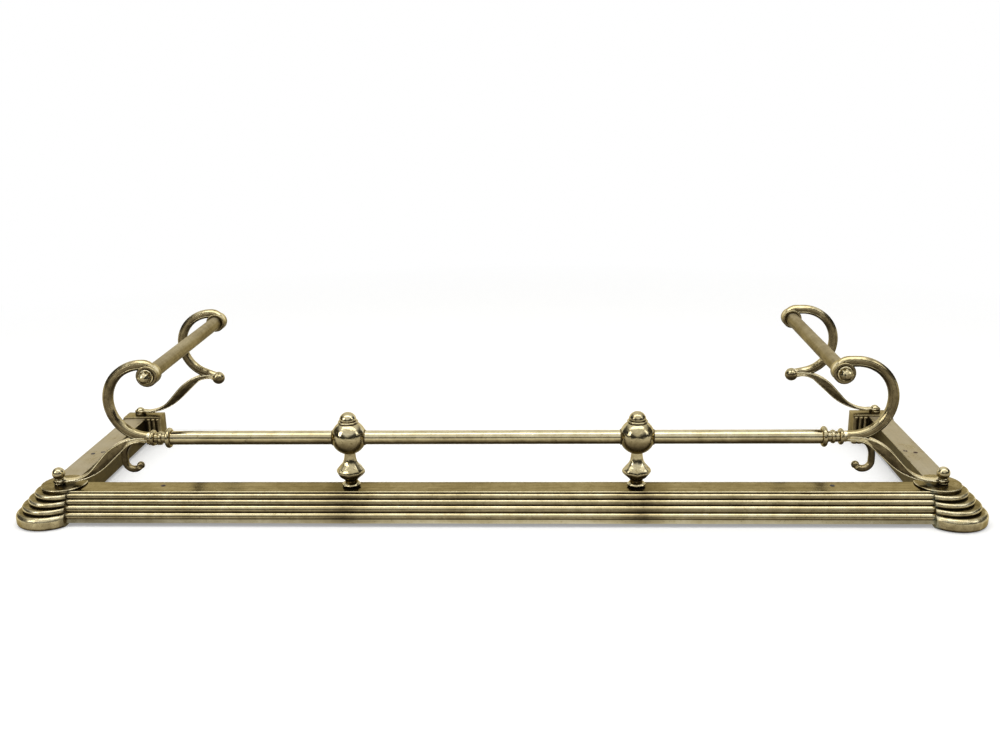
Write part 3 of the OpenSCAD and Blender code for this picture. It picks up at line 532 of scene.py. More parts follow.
moulding = dict(high=47, low=6, wide=34, run=20, sheet=1.6, backRound=0.8, dish=0.25,
                dishAt=(0.75, 0.5, 0.25), bead=1.8, beadLow=2.2, beadFrom=100, beadTo=-15,
                grooves=(0.925, 0.74, 0.555, 0.33, 0.115), bulge=2.4, wave=0.3, waveSize=0.12,
                frontCuts=90, returnCuts=24)


def onFace(z):
    return moulding["run"] * (moulding["high"] - z) / (moulding["high"] - moulding["low"])


def reedArc(zHigh, zLow):
    first = Vector((onFace(zHigh), zHigh))
    last = Vector((onFace(zLow), zLow))
    face = (last - first).length
    out = Vector((first.y - last.y, last.x - first.x)) / face
    radius = (face * face / 4 + moulding["bulge"] ** 2) / (2 * moulding["bulge"])
    centre = (first + last) / 2 - out * (radius - moulding["bulge"])
    tilt = degrees(atan2(out.y, out.x))
    spread = degrees(asin(face / 2 / radius))
    return arc(centre, radius, tilt + spread, tilt - spread, 10)


def mouldingSection():  # x outwards from the lip, then height
    look = moulding
    high, low, wide, edge = look["high"], look["low"], look["wide"], look["backRound"]
    grooves = [low + share * (high - low) for share in look["grooves"]]
    roof = high - look["sheet"]
    slant = look["sheet"] * sqrt(1 + (look["run"] / (high - low)) ** 2)
    points = [(-wide, low), (-wide, high - edge), (-wide + edge, high)]
    points += [(-wide * share, high - look["dish"]) for share in look["dishAt"]]
    points += arc((0, high - look["beadLow"]), look["bead"], look["beadFrom"], look["beadTo"])
    for zHigh, zLow in zip(grooves, grooves[1:]):
        points += reedArc(zHigh, zLow)[1 if zHigh != grooves[0] else 0:]
    points += [(look["run"], low), (look["run"] - slant, low), (onFace(roof) - slant, roof),
               (-wide + look["sheet"], roof), (-wide + look["sheet"], low)]
    return points


def makeMoulding(name, start, outwards, length, cuts):
    outline = [start + outwards * (u * mm) + up * (z * mm) for u, z in mouldingSection()]
    piece = drawn(name, outline, length, cuts)
    dent(piece, moulding["wave"] * mm, moulding["waveSize"])
    return settle(piece, smooth=40)


frontLow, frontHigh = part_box("front_moulding")
returnLow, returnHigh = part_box("right_moulding")
lipY = frontHigh.y - moulding["wide"] * mm
lipX = returnLow.x + moulding["wide"] * mm
dress(makeMoulding("frontMoulding", Vector((frontLow.x, lipY, 0)), -back,
                   across * (frontHigh.x - frontLow.x), moulding["frontCuts"]),
      mouldingBrass, "front_moulding")
dressPair(makeMoulding("rightMoulding", Vector((lipX, returnLow.y, 0)), across,
                       back * (returnHigh.y - returnLow.y), moulding["returnCuts"]),
          returnBrass, "moulding")
print("mouldings made")


# corner castings

corner = dict(band=45, bandHigh=19.5, plate=32, plateThick=2.5, lean=18.5, seam=14.5, bulge=3,
              neckHigh=3, neckIn=2, neckLap=1, rings=4, wall=9, roof=4.5, wellLow=-2, shoulder=7.5,
              toe=5, sink=1, web=2.6, steps=96)


def ringProfile(outer, low, high):
    half = (high - low) / 2
    radius = (half * half + corner["bulge"] ** 2) / (2 * corner["bulge"])
    spread = degrees(asin(half / radius))
    core = outer - corner["bulge"]
    return ([(0, low - corner["sink"]), (core, low - corner["sink"])]
            + arc((outer - radius, low + half), radius, -spread, spread, 10) + [(0, high)])


def bandProfile():
    look = corner
    return ([(0, 0)] + arc((look["band"] - look["toe"], look["toe"]), look["toe"], -90, 0)
            + arc((look["band"] - look["shoulder"], look["bandHigh"] - look["shoulder"]),
                  look["shoulder"], 0, 90, 10) + [(0, look["bandHigh"])])


def insideCutter(point):  # all that lies inwards of a corner
    return cubeCutter(point + Vector((-far, 0, -10 * mm)), point + Vector((0, far, far)))


def makeCorner():
    look = corner
    low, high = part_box("right_corner")
    ledge = moulding["high"]
    inwards = back - across
    bandAt = Vector((high.x - look["band"] * mm, low.y + look["band"] * mm, 0))
    plateAt = bandAt + inwards * (look["lean"] * mm)
    seamAt = plateAt + inwards * (look["seam"] * mm)
    step = (ledge - look["neckHigh"] - look["bandHigh"]) / (look["rings"] - 1)
    layers = [("band", bandProfile(), bandAt)]
    wells = [(bandAt, look["band"], look["bandHigh"])]
    for k in range(1, look["rings"]):
        share = k / look["rings"]
        outer = look["plate"] + (look["band"] - look["plate"]) * share
        ringLow = look["bandHigh"] + (look["rings"] - 1 - k) * step
        at = bandAt + (plateAt - bandAt) * (1 - share)
        layers.append(("ring", ringProfile(outer, ringLow, ringLow + step), at))
        wells.append((at, outer, ringLow + step))
    neckLow = ledge - look["neckHigh"] - look["sink"]
    layers.append(("neck", disc(look["plate"] - look["neckIn"], neckLow,
                                ledge + look["neckLap"]), plateAt))
    stack = [turned(*layer, steps=look["steps"]) for layer in layers]
    for ring in stack:
        trim(ring, seamAt, -across)
        trim(ring, seamAt, back)
    top = ledge + look["plateThick"]
    plate = [(0, ledge)] + rim(look["plate"], ledge, top) + [(0, top)]
    stack.append(turned("plate", plate, plateAt, steps=look["steps"]))
    casting = joined("rightCorner", stack)
    innerCorner = Vector((returnLow.x, frontHigh.y, 0))
    cutAway(casting, insideCutter(innerCorner))
    hollow = joined("hollow", [turned("well", disc(outer - look["wall"], look["wellLow"],
                                                   wellTop - look["roof"]), at)
                               for at, outer, wellTop in wells])
    cutAway(hollow, insideCutter(innerCorner - inwards * (look["web"] * mm)))
    cutAway(casting, hollow)
    heal(casting)
    return settle(casting, smooth=38)


dressPair(makeCorner(), cornerBrass, "corner")
print("corner castings made")


# rear blocks

rearBlock = dict(out=4, reed=4, reedRound=2.5, round=0.8, boss=9, bossLow=45, bossCut=0.6,
                 coreGap=0.4)


def makeRearBlock():
    look = rearBlock
    low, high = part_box("right_rear_block")
    reed, soft, reedTop = look["reed"], look["reedRound"], moulding["high"]
    plateTop = (moulding["high"] + corner["plateThick"]) * mm
    front = low.y + reed * mm
    outline = [(low.x, 0), (low.x, plateTop), (lipX + look["out"] * mm, plateTop), (high.x, 0)]
    body = drawn("body", [Vector((x, front, z)) for x, z in outline], back * (high.y - front))
    modify(body, "BEVEL", width=look["round"] * mm, segments=3, limit_method="ANGLE")
    gap = look["coreGap"] * mm
    coreLow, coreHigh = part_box("right_core")
    cutAway(body, cubeCutter(Vector((coreLow.x - gap, low.y - mm, -mm)),
                             Vector((coreHigh.x + gap, coreHigh.y + gap, coreHigh.z))))
    pieces = [body]
    rounded = ([(0, 0), (reed, 0)]
               + arc((reed - soft, reedTop - soft), soft, 0, 90, 5) + [(0, reedTop)])
    for i in range(round((returnLow.x - low.x) / (2 * reed * mm) - 0.5)):
        at = Vector((low.x + reed * mm * (2 * i + 1), front, 0))
        pieces.append(turned("reed", rounded, at, steps=30))
    r, cut, top = look["boss"], look["bossCut"], high.z / mm
    boss = [(0, look["bossLow"]), (r, look["bossLow"]), (r, top - cut), (r - cut, top), (0, top)]
    pieces.append(turned("boss", boss, under("right_rear_bolt")))
    block = joined("rightRearBlock", pieces)
    heal(block)
    return settle(block, smooth=35)


dressPair(makeRearBlock(), blockBrass, "rear_block")
print("rear blocks made")


# scroll castings

scroll = dict(reach=142, low=55, top=53, run=15.5, topFlat=2, lowFlat=2,
              bar=(12.5, 12, 3, 0.45, 1.3), grooveWide=0.4, eye=15, eyeDeep=22, eyeProud=1,
              eyeRound=1.6, eyeSeat=9.6, eyeLip=11.6, eyeSink=0.6, curl=25.5, curlEnd=11.5,
              curlIn=16, curlLap=3, curlHang=1.5, curlDrop=8.5, curlTurn=150, curlBar=(8.5, 9, 2),
              curlBall=5.5, knob=10.5, pad=9, padThick=4, padEdge=0.5, padRound=1, boss=7.5,
              bossLong=6, bossEdge=0.6, bossTaper=1.5, railHigh=119.5)
arm = dict(foot=3.4, deep=10.6, slope=48, highRadius=82, footRadius=55, inset=11.4, lowRadius=30,
           underRadius=98, lowSlope=43, underOut=2.1, within=2, below=5.8, lap=3,
           rib=(2.6, 12.6, 0.7), lowRib=(1.5, 12, 0.4), leaf=26, leafEnd=3.5, leafWide=8.3,
           leafTip=4.6, leafIn=0.2)
railHigh = scroll["railHigh"]
boltX = middleOf("right_corner_bolt").x / mm
frontY = middleOf("right_front_scroll").y
rearY = middleOf("right_rear_scroll").y


def barSection(wide, deep, bevel, groove=0.0, inner=0.0):  # inner: thicker towards the inside
    w, d = wide / 2, deep / 2
    half = [(-w, -d + bevel), (-w + bevel, -d)]
    if groove:
        half += [(-w + bevel + scroll["grooveWide"] * k, -d + sunk)
                 for k, sunk in ((1, 0), (2, groove), (3, groove), (4, 0))]
    front = half + [(inner - x, y) for x, y in reversed(half)]
    return front + [(x, -y) for x, y in reversed(front)]


def straightOf(drop, slope, radii):  # between the two bends of an arm's edge
    return (drop - radii * (1 - cos(radians(slope)))) / sin(radians(slope))


def fallOf(drop, slope, radii):  # how far both bends and the straight reach
    return (radii * sin(radians(slope))
            + straightOf(drop, slope, radii) * cos(radians(slope)))


def makeRib(size, start, drop, slope, first, last, side=1):  # side: 1 above the arm, -1 below
    inset = side * size[0] / 2
    return swept("rib", barSection(*size), (Vector(start) - up * inset) * mm, 0,
                 [(inset - first, slope), (0, straightOf(drop, slope, first + last)),
                  (last + inset, slope)])


def makeArm(endX, padTop, y):
    look = arm
    top = padTop - (scroll["padThick"] - look["foot"]) / 2
    foot = top - look["foot"]
    high, low = railHigh + look["within"], railHigh - look["below"]
    slope, highRadius, footRadius = look["slope"], look["highRadius"], look["footRadius"]
    lowSlope, lowRadius, underRadius = look["lowSlope"], look["lowRadius"], look["underRadius"]
    highX = endX + look["inset"]
    footX = highX + fallOf(high - top, slope, highRadius + footRadius)
    underX = footX + look["underOut"]
    lowX = underX - fallOf(low - foot, lowSlope, lowRadius + underRadius)
    outline = [(highX - look["lap"], high)]
    outline += arc((highX, high - highRadius), highRadius, 90, 90 - slope, 18)
    outline += arc((footX, top + footRadius), footRadius, 270 - slope, 270, 18)
    outline += [(boltX, top), (boltX, foot)]
    outline += arc((underX, foot + underRadius), underRadius, 270, 270 - lowSlope, 18)
    outline += arc((lowX, low - lowRadius), lowRadius, 90 - lowSlope, 90, 10)
    outline += [(highX - look["lap"], low)]
    start = y / mm - look["deep"] / 2
    body = drawn("arm", [Vector((px, start, pz)) * mm for px, pz in outline],
                 back * (look["deep"] * mm))
    upper = makeRib(look["rib"], (highX, y / mm, high), high - top, slope, highRadius, footRadius)
    lower = makeRib(look["lowRib"], (lowX, y / mm, low), low - foot, lowSlope, lowRadius,
                    underRadius, -1)
    side = [(look["leaf"], look["leafTip"]), (look["leafEnd"], look["leafWide"]),
            (0, look["leafWide"])]
    plan = [(px, -py) for px, py in side] + side[::-1]
    leaf = drawn("leaf", [Vector((boltX - px, y / mm + py, foot + look["leafIn"])) * mm
                          for px, py in plan],
                 up * ((look["foot"] - 2 * look["leafIn"]) * mm))
    return joined("arm", [body, upper, lower, leaf])


def makeEye(eyeX, eyeZ, y):
    look = scroll
    r, half, soft, sink = look["eye"], look["eyeDeep"] / 2, look["eyeRound"], look["eyeSink"]
    side = [(0, sink - half), (look["eyeSeat"], sink - half), (look["eyeLip"], -half)]
    side += arc((r - soft, soft - half), soft, -90, 0, 4)
    drum = side + [(x, -z) for x, z in reversed(side)]
    return turned("eye", drum, Vector((eyeX * mm, y, eyeZ * mm)), back, up)


def makeCurl(endX, y):
    look = scroll
    curlTop = railHigh - look["curlHang"]
    bar = swept("curl", barSection(*look["curlBar"]),
                Vector((endX + look["curlLap"], y / mm, curlTop)) * mm, 0,
                [(0, look["curlIn"] - look["curlLap"]), (-look["curl"], 90),
                 (0, look["curlDrop"]), (-look["curlEnd"], look["curlTurn"])])
    turn = radians(look["curlTurn"])
    ballX = endX + look["curlIn"] + look["curl"] - look["curlEnd"] * (1 - cos(turn))
    ballZ = curlTop - look["curl"] - look["curlDrop"] - look["curlEnd"] * sin(turn)
    tip = turned("tip", arc((0, 0), look["curlBall"], -90, 90, 16),
                 Vector((ballX, y / mm, ballZ)) * mm, steps=32)
    r, cut, taper, long = look["boss"], look["bossEdge"], look["bossTaper"], look["bossLong"]
    profile = [(0, 0), (r - cut, 0), (r, cut), (r, long - taper), (r - taper, long), (0, long)]
    boss = turned("boss", profile, Vector((endX, y / mm, railHigh)) * mm, across, -back)
    return [bar, tip, boss]


def makeScroll(name, flat, slope, y, curled):
    look = scroll
    endX = boltX - look["reach"]
    padLow = heights("right_front_scroll")[0]
    padTop = padLow + look["padThick"]
    tilt = radians(slope)
    drop = flat + look["low"] * sin(tilt)
    tailZ = railHigh + look["low"] * (1 - cos(tilt)) - tan(tilt) * drop
    tailEnd = Vector((endX, y / mm, tailZ)) * mm
    pieces = [swept("bar", barSection(*look["bar"]), tailEnd, slope,
                    [(0, drop / cos(tilt)), (look["low"], 90 - slope), (look["top"], 90),
                     (0, flat - look["lowFlat"] + look["topFlat"]), (look["run"], 90)])]
    runX = endX + look["lowFlat"] + look["low"] - look["top"] - look["topFlat"]
    eyeX = runX - look["run"] - look["bar"][0] / 2 + look["eye"] - look["eyeProud"]
    pieces.append(makeEye(eyeX, railHigh + look["low"] + look["top"] - look["eye"], y))
    pieces.append(makeArm(endX, padTop, y))
    soft = look["padRound"]
    pad = [(0, padLow), (look["pad"] - look["padEdge"], padLow)]
    pad += arc((look["pad"] - soft, padTop - soft), soft, 0, 90, 4) + [(0, padTop)]
    pieces.append(turned("pad", pad, Vector((boltX * mm, y, 0))))
    if curled:
        pieces += makeCurl(endX, y)
    else:
        pieces.append(turned("knob", arc((0, 0), look["knob"], -90, 90, 24), tailEnd, steps=48))
    return settle(joined(name, pieces), smooth=30, round=0.35, corner=20)


scrollShapes = {  # straight run, slope of the tail, place, lower curl, node
    "rightFrontScroll": (10.5, 0, frontY, True, "right_front_scroll"),
    "leftFrontScroll": (2, 0, frontY, True, "left_front_scroll"),
    "rightRearScroll": (10.5, 12, rearY, False, "right_rear_scroll"),
    "leftRearScroll": (2, 22, rearY, False, "left_rear_scroll"),
}
for pieceName, (flat, slope, y, curled, node) in scrollShapes.items():
    casting = makeScroll(pieceName, flat, slope, y, curled)
    if pieceName.startswith("left"):
        mirror(casting)
    dress(casting, scrollBrass, node)
print("scroll castings made")


# rails

tube = dict(wall=1.5, round=0.4, wave=0.15, waveSize=0.05, frontMore=0.3, sideMore=0.8, steps=48)


def makeTube(name, node, axis, side, cuts, more):
    low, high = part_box(node)
    radius = (high.z - low.z) / 2 / mm + more
    length = (high - low).dot(axis) / mm
    base = middleOf(node) - axis * (length * mm / 2)
    inner, cut = radius - tube["wall"], tube["round"]
    profile = [(inner, 0), (radius - cut, 0), (radius, cut), (radius, length - cut),
               (radius - cut, length), (inner, length), (inner, 0)]
    piece = turned(name, profile, base, axis, side, tube["steps"])
    edit(piece)
    cutAlong(piece, axis, cuts)
    dent(piece, tube["wave"] * mm, tube["waveSize"])
    return settle(piece, smooth=40)


dress(makeTube("middleRailTube", "middle_rail_tube", across, -back, 40, tube["frontMore"]),
      tubeBrass, "middle_rail_tube")
dressPair(makeTube("rightRailTube", "right_rail_tube", across, -back, 28, tube["frontMore"]),
          tubeBrass, "rail_tube")
dressPair(makeTube("rightSideRail", "right_side_rail", back, up, 30, tube["sideMore"]),
          paleBrass, "side_rail")

collar = dict(radius=14.5, big=7, neck=7.5, bead=9.6, beadAt=15.6, beadHalf=3.4, beadTurn=68,
              small=11.5, smallWide=6, smallAt=26.5, smallGap=0.3, bore=9.7, boreDeep=5,
              fillet=0.6, gap=0.2)


def makeCollar():
    look = collar
    low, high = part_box("right_collar")
    base = Vector((low.x, (low.y + high.y) / 2, (low.z + high.z) / 2))
    bore, deep, neck = look["bore"], look["boreDeep"], look["neck"]
    fillet, gap, turn = look["fillet"], look["gap"], look["beadTurn"]
    beadLow, beadTop = look["beadAt"] - look["beadHalf"], look["beadAt"] + look["beadHalf"]
    smallLow = look["smallAt"] - look["smallWide"] / 2
    smallTop = smallLow + look["smallWide"]
    profile = [(0, deep), (bore, deep), (bore, fillet), (bore + fillet, 0)]
    profile += rim(look["radius"], 0, look["big"], 12)
    profile += [(neck + fillet, look["big"] + gap), (neck, look["big"] + gap + fillet),
                (neck, beadLow + fillet)]
    profile += arc((look["bead"] - look["beadHalf"], look["beadAt"]), look["beadHalf"],
                   -turn, turn, 10)
    profile += [(neck, beadTop - gap), (neck, smallLow - look["smallGap"])]
    profile += rim(look["small"], smallLow, smallTop, 10)
    profile += [(0, max((high.x - low.x) / mm, smallTop))]
    return settle(turned("rightCollar", profile, base, across, -back, 56), smooth=35)


dressPair(makeCollar(), turnedBrass, "collar")
print("rails and collars made")


# balusters

baluster = dict(ball=24.8, ballRise=0.8, ballSide=22.4, ballUp=21.5, ballDown=22.5, ferrule=11.2,
                ferruleWide=2, ferruleBore=9.6, ferruleIn=0.4, sides=8, foot=13.5, footIn=2.7,
                footHigh=6, footFlat=0.4, neck=8.9, neckHigh=4, neckFlare=1, knop=20.4, stem=7.9,
                belly=((8.6, 2.2), (5.6, 4.4), (3.1, 6.6), (1.3, 8.8), (0.3, 10.6)),
                skirt=((0, 12.2), (0.5, 14.4), (1.7, 16.4), (3.4, 18.3)),
                flare=((7.2, 20.5), (5.2, 22.6), (3.5, 24.8), (2.2, 27.2), (1.2, 30),
                       (0.5, 34), (0.1, 38)),
                dome=12, domeHigh=11.2, domeFrom=4, ringOut=2.4, ringHigh=3.4, grooveHigh=1.1,
                grooveIn=1.0, grooveStep=0.1)
balusterAt = Vector((middleOf("right_ball").x, frontY, 0))
ballAt = balusterAt + up * (railHigh * mm)


def makeBall():
    look = baluster
    rise, down, top = look["ballRise"], -look["ballDown"], look["ballUp"]
    spread = [degrees(asin((z - rise) / look["ball"])) for z in (down, top)]
    profile = [(0, down)] + arc((0, rise), look["ball"], *spread, 36) + [(0, top)]
    piece = turned("rightBall", profile, ballAt, steps=72)
    for way in (-across, across):
        trim(piece, balusterAt + way * (look["ballSide"] * mm), way)
    return settle(piece, smooth=30, round=0.3, corner=30)


def makeFerrules():
    look = baluster
    half, bore = look["ferruleWide"] / 2, look["ferruleBore"]
    profile = ([(bore, -half)] + rim(look["ferrule"], -half, half, 6)
               + [(bore, half), (bore, -half)])
    reach = (look["ballSide"] + look["ferruleIn"]) * mm
    places = [side * ballAt.x + way * reach for side in (-1, 1) for way in (-1, 1)]
    rings = [turned("ferrule", profile, Vector((x, ballAt.y, ballAt.z)), across, -back, 48)
             for x in places]
    return settle(joined("ballFerrules", rings), smooth=35)


def makeFinial():
    look = baluster
    ringZ, dome, groove = look["ballUp"], look["dome"], look["dome"] - look["grooveIn"]
    grooveZ = ringZ + look["ringHigh"]
    domeZ = grooveZ + look["grooveHigh"]
    profile = [(0, ringZ)] + rim(dome + look["ringOut"], ringZ, grooveZ)
    profile += [(groove, grooveZ + look["grooveStep"]), (groove, domeZ)]
    profile += [(r, domeZ + z * look["domeHigh"] / dome)
                for r, z in arc((0, 0), dome, look["domeFrom"], 90, 16)]
    return settle(turned("rightFinial", profile, ballAt), smooth=35)


def makeVase():
    look = baluster
    low, high = heights("right_vase")
    bottom, neck, flare = low + look["neckHigh"], look["neck"], look["neckFlare"]
    profile = [(0, low), (neck, low), (neck, bottom - flare), (neck + flare, bottom)]
    profile += [(look["knop"] - dr, bottom + dz) for dr, dz in look["belly"] + look["skirt"]]
    profile += [(look["stem"] + dr, bottom + dz) for dr, dz in look["flare"]]
    profile += [(look["stem"], high), (0, high)]
    vase = turned("rightVase", profile, balusterAt, steps=look["sides"])
    return settle(vase, smooth=28, round=0.35, corner=18)


def makeFoot():
    look = baluster
    low = heights("right_foot_ring")[0]
    r, inner, flat = look["foot"], look["foot"] - look["footIn"], look["footFlat"]
    middle, top = low + look["footHigh"] / 2, low + look["footHigh"]
    profile = [(0, low), (inner, low), (r, middle - flat), (r, middle + flat), (inner, top),
               (0, top)]
    ring = turned("rightFootRing", profile, balusterAt, steps=look["sides"])
    return settle(ring, smooth=28, round=0.3, corner=18)


for make, node in ((makeBall, "ball"), (makeFinial, "finial"), (makeVase, "vase"),
                   (makeFoot, "foot_ring")):
    dressPair(make(), turnedBrass, node)
dress(makeFerrules(), darkBrass, "ball_ferrules")
print("balusters made")


# bolts, nuts and screws

fastener = dict(shank=4, shankTip=0.6, boltBall=9, ballSink=0.5, flange=6.5, flangeHigh=1.5,
                flangeCut=0.4, spacer=8, headWide=7, headHigh=5, headEdge=0.3, rearNutSides=6,
                rearNutEdge=0.8, rearNutIn=2.2, rearNutSlope=1.6)
eyeNut = dict(sides=8, flange=10.4, flangeThick=2, flangeLow=0.5, flangeTop=0.6, wide=9.4,
              side=5.4, shoulder=9.2, waist=2.4, tip=3.2, lap=0.5, flute=2.6, fluteIn=1.1,
              fluteOver=2)
ledgeScrew = dict(low=41, shank=1.9, head=3.4, headDeep=1.6, slot=0.8, slotDeep=0.6, slotOver=1,
                  crown=((0, -0.2), (0.3, 0.15), (1.7, 0.3), (3.4, 0.32)),
                  places=((-151, 0, 20), (-6.5, 139.5, 70), (6.5, 132.5, -35)))


def shankProfile(low, seat):
    r, tip = fastener["shank"], fastener["shankTip"]
    return [(0, low), (r - tip, low), (r, low + tip), (r, seat)]


def makeCornerBolt():
    look = fastener
    low, high = heights("right_corner_bolt")
    ball, r, cut = look["boltBall"], look["flange"], look["flangeCut"]
    ballZ = high - ball
    flangeLow = ballZ - ball + look["ballSink"]
    flangeTop = flangeLow + look["flangeHigh"]
    start = degrees(asin((flangeTop - ballZ) / ball))
    profile = shankProfile(low, flangeLow)
    profile += [(r - cut, flangeLow), (r, flangeLow + cut), (r, flangeTop - cut),
                (r - cut, flangeTop)]
    profile += arc((0, ballZ), ball, start, 90, 20)
    bolt = turned("rightCornerBolt", profile, under("right_corner_bolt"), steps=56)
    return settle(bolt, smooth=35)


def makeSpacers():
    bottom, top = heights("corner_spacers")
    profile = [(0, bottom)] + rim(fastener["spacer"], bottom, top) + [(0, top)]
    rings = [turned("spacer", profile, Vector((side * boltX * mm, frontY, 0)), steps=48)
             for side in (-1, 1)]
    return settle(joined("cornerSpacers", rings), smooth=35)


def makeRearBolt():
    look = fastener
    low, top = heights("right_rear_bolt")
    head, rise = look["headWide"], look["headHigh"]
    radius = (head * head + rise * rise) / (2 * rise)
    seat = top - rise
    start = degrees(asin((radius - rise) / radius))
    profile = shankProfile(low, seat) + [(head - look["headEdge"], seat)]
    profile += arc((0, top - radius), radius, start, 90, 10)[1:]
    bolt = turned("rightRearBolt", profile, under("right_rear_bolt"), steps=48)
    return settle(bolt, smooth=35)


def makeEyeNut():
    look = eyeNut
    low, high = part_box("right_eye_nut")
    at = Vector(((low.x + high.x) / 2, high.y, (low.z + high.z) / 2))
    long = (high.y - low.y) / mm
    r, thick, sides, wide = look["flange"], look["flangeThick"], look["sides"], look["wide"]
    flange = [(0, 0), (r - look["flangeLow"], 0), (r, look["flangeLow"]),
              (r, thick - look["flangeTop"]), (r - look["flangeTop"], thick), (0, thick)]
    nut = [(0, thick - look["lap"]), (wide, thick - look["lap"]), (wide, thick + look["side"]),
           (wide - look["waist"], thick + look["shoulder"]), (look["tip"], long), (0, long)]
    body = turned("nut", nut, at, -back, up, sides)
    out = (wide * cos(pi / sides) + look["flute"] - look["fluteIn"]) * mm
    flutes = []
    for k in range(sides):
        turn = 2 * pi * (k + 0.5) / sides
        middle = at + across * (out * sin(turn)) + up * (out * cos(turn))
        flutes.append(turned("flute", disc(look["flute"], thick, long + look["fluteOver"]),
                             middle, -back, up, 20))
    cutAway(body, joined("flutes", flutes))
    nut = joined("rightEyeNut", [turned("flange", flange, at, -back, up, 48), body])
    return settle(nut, smooth=28, round=0.25, corner=18)


def makeRearEyeNuts():
    look = fastener
    low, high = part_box("rear_eye_nuts")
    eyeX = middleOf("right_side_rail").x
    long, r, edge = (high.y - low.y) / mm, (high.x - eyeX) / mm, look["rearNutEdge"]
    profile = [(0, 0), (r - edge, 0), (r, edge), (r, long - look["rearNutSlope"]),
               (r - look["rearNutIn"], long), (0, long)]
    nuts = [turned("nut", profile, Vector((side * eyeX, low.y, (low.z + high.z) / 2)), back,
                   across, look["rearNutSides"]) for side in (-1, 1)]
    return settle(joined("rearEyeNuts", nuts), smooth=28, round=0.3, corner=18)


def makeLedgeScrews():
    look = ledgeScrew
    top, r = moulding["high"], look["head"]
    profile = [(0, look["low"]), (look["shank"], look["low"]),
               (look["shank"], top - look["headDeep"])]
    profile += [(r - inwards, top + rise) for inwards, rise in look["crown"]]
    heads = []
    for x, y, turn in look["places"]:  # from the corner bolt, and the slot's turn
        at = Vector(((boltX + x) * mm, frontY + y * mm, 0))
        head = turned("screw", profile, at, steps=28)
        slot = cubeCutter(Vector((-r, -look["slot"] / 2, top - look["slotDeep"])) * mm,
                          Vector((r, look["slot"] / 2, top + look["slotOver"])) * mm)
        slot.rotation_euler.z = radians(turn)
        slot.location = at
        cutAway(head, slot)
        heads.append(head)
    screws = joined("ledgeScrews", heads)
    heal(screws)
    settle(screws, smooth=30)
    return joined("ledgeScrews", [screws, twin(screws, "others")])


for make, node in ((makeCornerBolt, "corner_bolt"), (makeRearBolt, "rear_bolt"),
                   (makeEyeNut, "eye_nut")):
    dressPair(make(), turnedBrass, node)
dress(makeSpacers(), turnedBrass, "corner_spacers")
dress(makeRearEyeNuts(), blackIron, "rear_eye_nuts")
dress(makeLedgeScrews(), blackIron, "ledge_screws")

ironNodes = ("front_core", "left_core", "right_core", "left_corner_strap",
             "right_corner_strap", "front_tie_rod", "left_side_tie_rod", "right_side_tie_rod",
             "left_stud", "right_stud", "hex_nuts", "washers", "strap_screws")
for node in ironNodes:
    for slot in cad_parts[node].material_slots:
        slot.material = blackIron
print("fasteners made")


# floor, light and camera

studio = dict(floor=80, floorColour=(0.84, 0.84, 0.83), glow=0.32, near=0.95, far=1.9,
              backdropAt=6, backdropHigh=4.6, backdropWide=16)
white = (1, 1, 1)
lamps = {  # place, aim, size and power
    "topSoftbox": ((0, -0.45, 2.1), (0, 0, 0.1), (3.2, 0.7), 15),
    "leftSoftbox": ((-2.3, -1.5, 1.5), (0, 0, 0.1), (0.7, 1.3), 13),
    "rightSoftbox": ((2.6, -0.9, 1.7), (0, 0, 0.1), (0.7, 1.2), 6),
}
room = dict(levels=((0.0, 0.05), (0.15, 0.07), (0.27, 0.28), (0.42, 0.80), (1.0, 0.95)),
            warmth=0.99, sideDark=0.42,  # how much darker towards the sides
            whiteEdge=(0.03, 0.05))  # how high metal still mirrors the white
camera = dict(lens=38.63, sensor=36, clip=(0.05, 60), place=(0.07815, -1.558, 0.6188),
              yaw=-0.04633, pitch=0.2806, roll=-0.0175)


def seenRays(paint):  # camera rays, then rays mirrored or let through
    direct = paint.node("LightPath", {}, "Is Camera Ray")
    outputs = direct.socket.node.outputs
    return direct, (Signal(paint, outputs["Is Glossy Ray"])
                    + Signal(paint, outputs["Is Transmission Ray"]))


def paleBackground(name, shadowed):
    paint = Paint(name)
    direct, mirrored = seenRays(paint)
    away = seen = (direct + mirrored).limited()
    plain = paint.node("Emission", {"Color": white, "Strength": 1})
    near = paint.node("BsdfDiffuse", {"Color": studio["floorColour"]})
    if shadowed:  # round the fender the floor keeps shadows
        reach = paint.node("VectorMath", {0: paint.coordinates("Object")}, "Value",
                           operation="LENGTH")
        away = seen * reach.between(studio["near"], studio["far"])
        glow = paint.node("Emission", {"Color": white, "Strength": seen * studio["glow"]})
        near = paint.node("AddShader", {0: near, 1: glow})
    return paint.finish(paint.node("MixShader", {0: away, 1: near, 2: plain}))


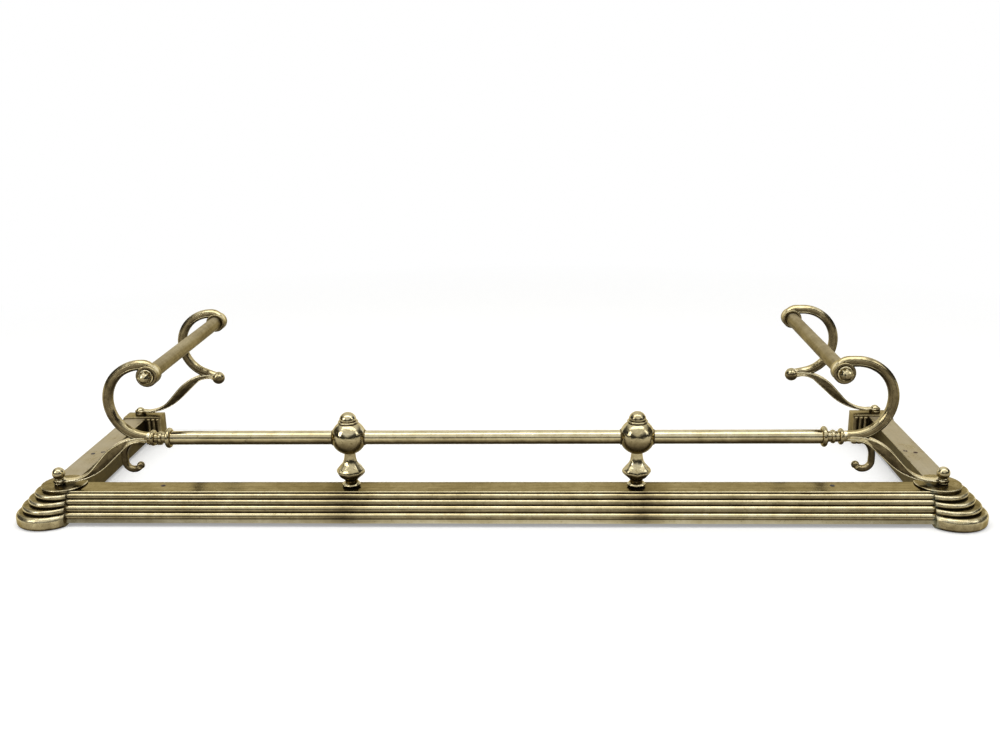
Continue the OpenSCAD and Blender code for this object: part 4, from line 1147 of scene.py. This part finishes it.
def addStage(name, material, size, **settings):
    free()
    bpy.ops.mesh.primitive_plane_add(size=1, **settings)
    stage = bpy.context.object
    stage.name = name
    stage.scale = (*size, 1)
    applyPlace(stage)
    stage.data.materials.append(material)


addStage("floor", paleBackground("paleFloor", True), (studio["floor"], studio["floor"]))
addStage("backdrop", paleBackground("paleBackdrop", False),
         (studio["backdropWide"], studio["backdropHigh"]), rotation=(pi / 2, 0, 0),
         location=(0, studio["backdropAt"], studio["backdropHigh"] / 2))


def addLamp(name, place, aim, size, power):
    lamp = bpy.data.lights.new(name, "AREA")
    lamp.shape = "RECTANGLE"
    lamp.size, lamp.size_y = size
    lamp.energy = power
    holder = bpy.data.objects.new(name, lamp)
    bpy.context.collection.objects.link(holder)
    holder.location = place
    holder.rotation_euler = (Vector(aim) - Vector(place)).to_track_quat("-Z", "Y").to_euler()


for name, settings in lamps.items():
    addLamp(name, *settings)


def paintRoom():  # dark near the horizon, white where it is seen
    paint = Paint("room", bpy.data.worlds)
    sideways, _, height = paint.parts(paint.coordinates("Generated"))
    stops = [(z, (level, level, level * room["warmth"])) for z, level in room["levels"]]
    lit = paint.node("ValToRGB", {"Fac": height - sideways.size() * room["sideDark"]},
                     stops=stops)
    direct, mirrored = seenRays(paint)
    seen = (direct + mirrored * (1.0 - height.between(*room["whiteEdge"]))).limited()
    shade = paint.node("Background", {"Color": paint.mix(seen, lit, white)})
    paint.node("OutputWorld", {"Surface": shade})
    return paint.material


bpy.context.scene.world = paintRoom()

lens = bpy.data.cameras.new("camera")
lens.lens = camera["lens"]
lens.sensor_width = camera["sensor"]
lens.clip_start, lens.clip_end = camera["clip"]
viewer = bpy.data.objects.new("camera", lens)
bpy.context.collection.objects.link(viewer)
viewer.matrix_world = (Matrix.Translation(camera["place"])
                       @ Matrix.Rotation(-camera["yaw"], 4, "Z")
                       @ Matrix.Rotation(pi / 2 - camera["pitch"], 4, "X")
                       @ Matrix.Rotation(camera["roll"], 4, "Z"))
bpy.context.scene.camera = viewer
bpy.context.scene.view_settings.view_transform = "Standard"
print("stage set")
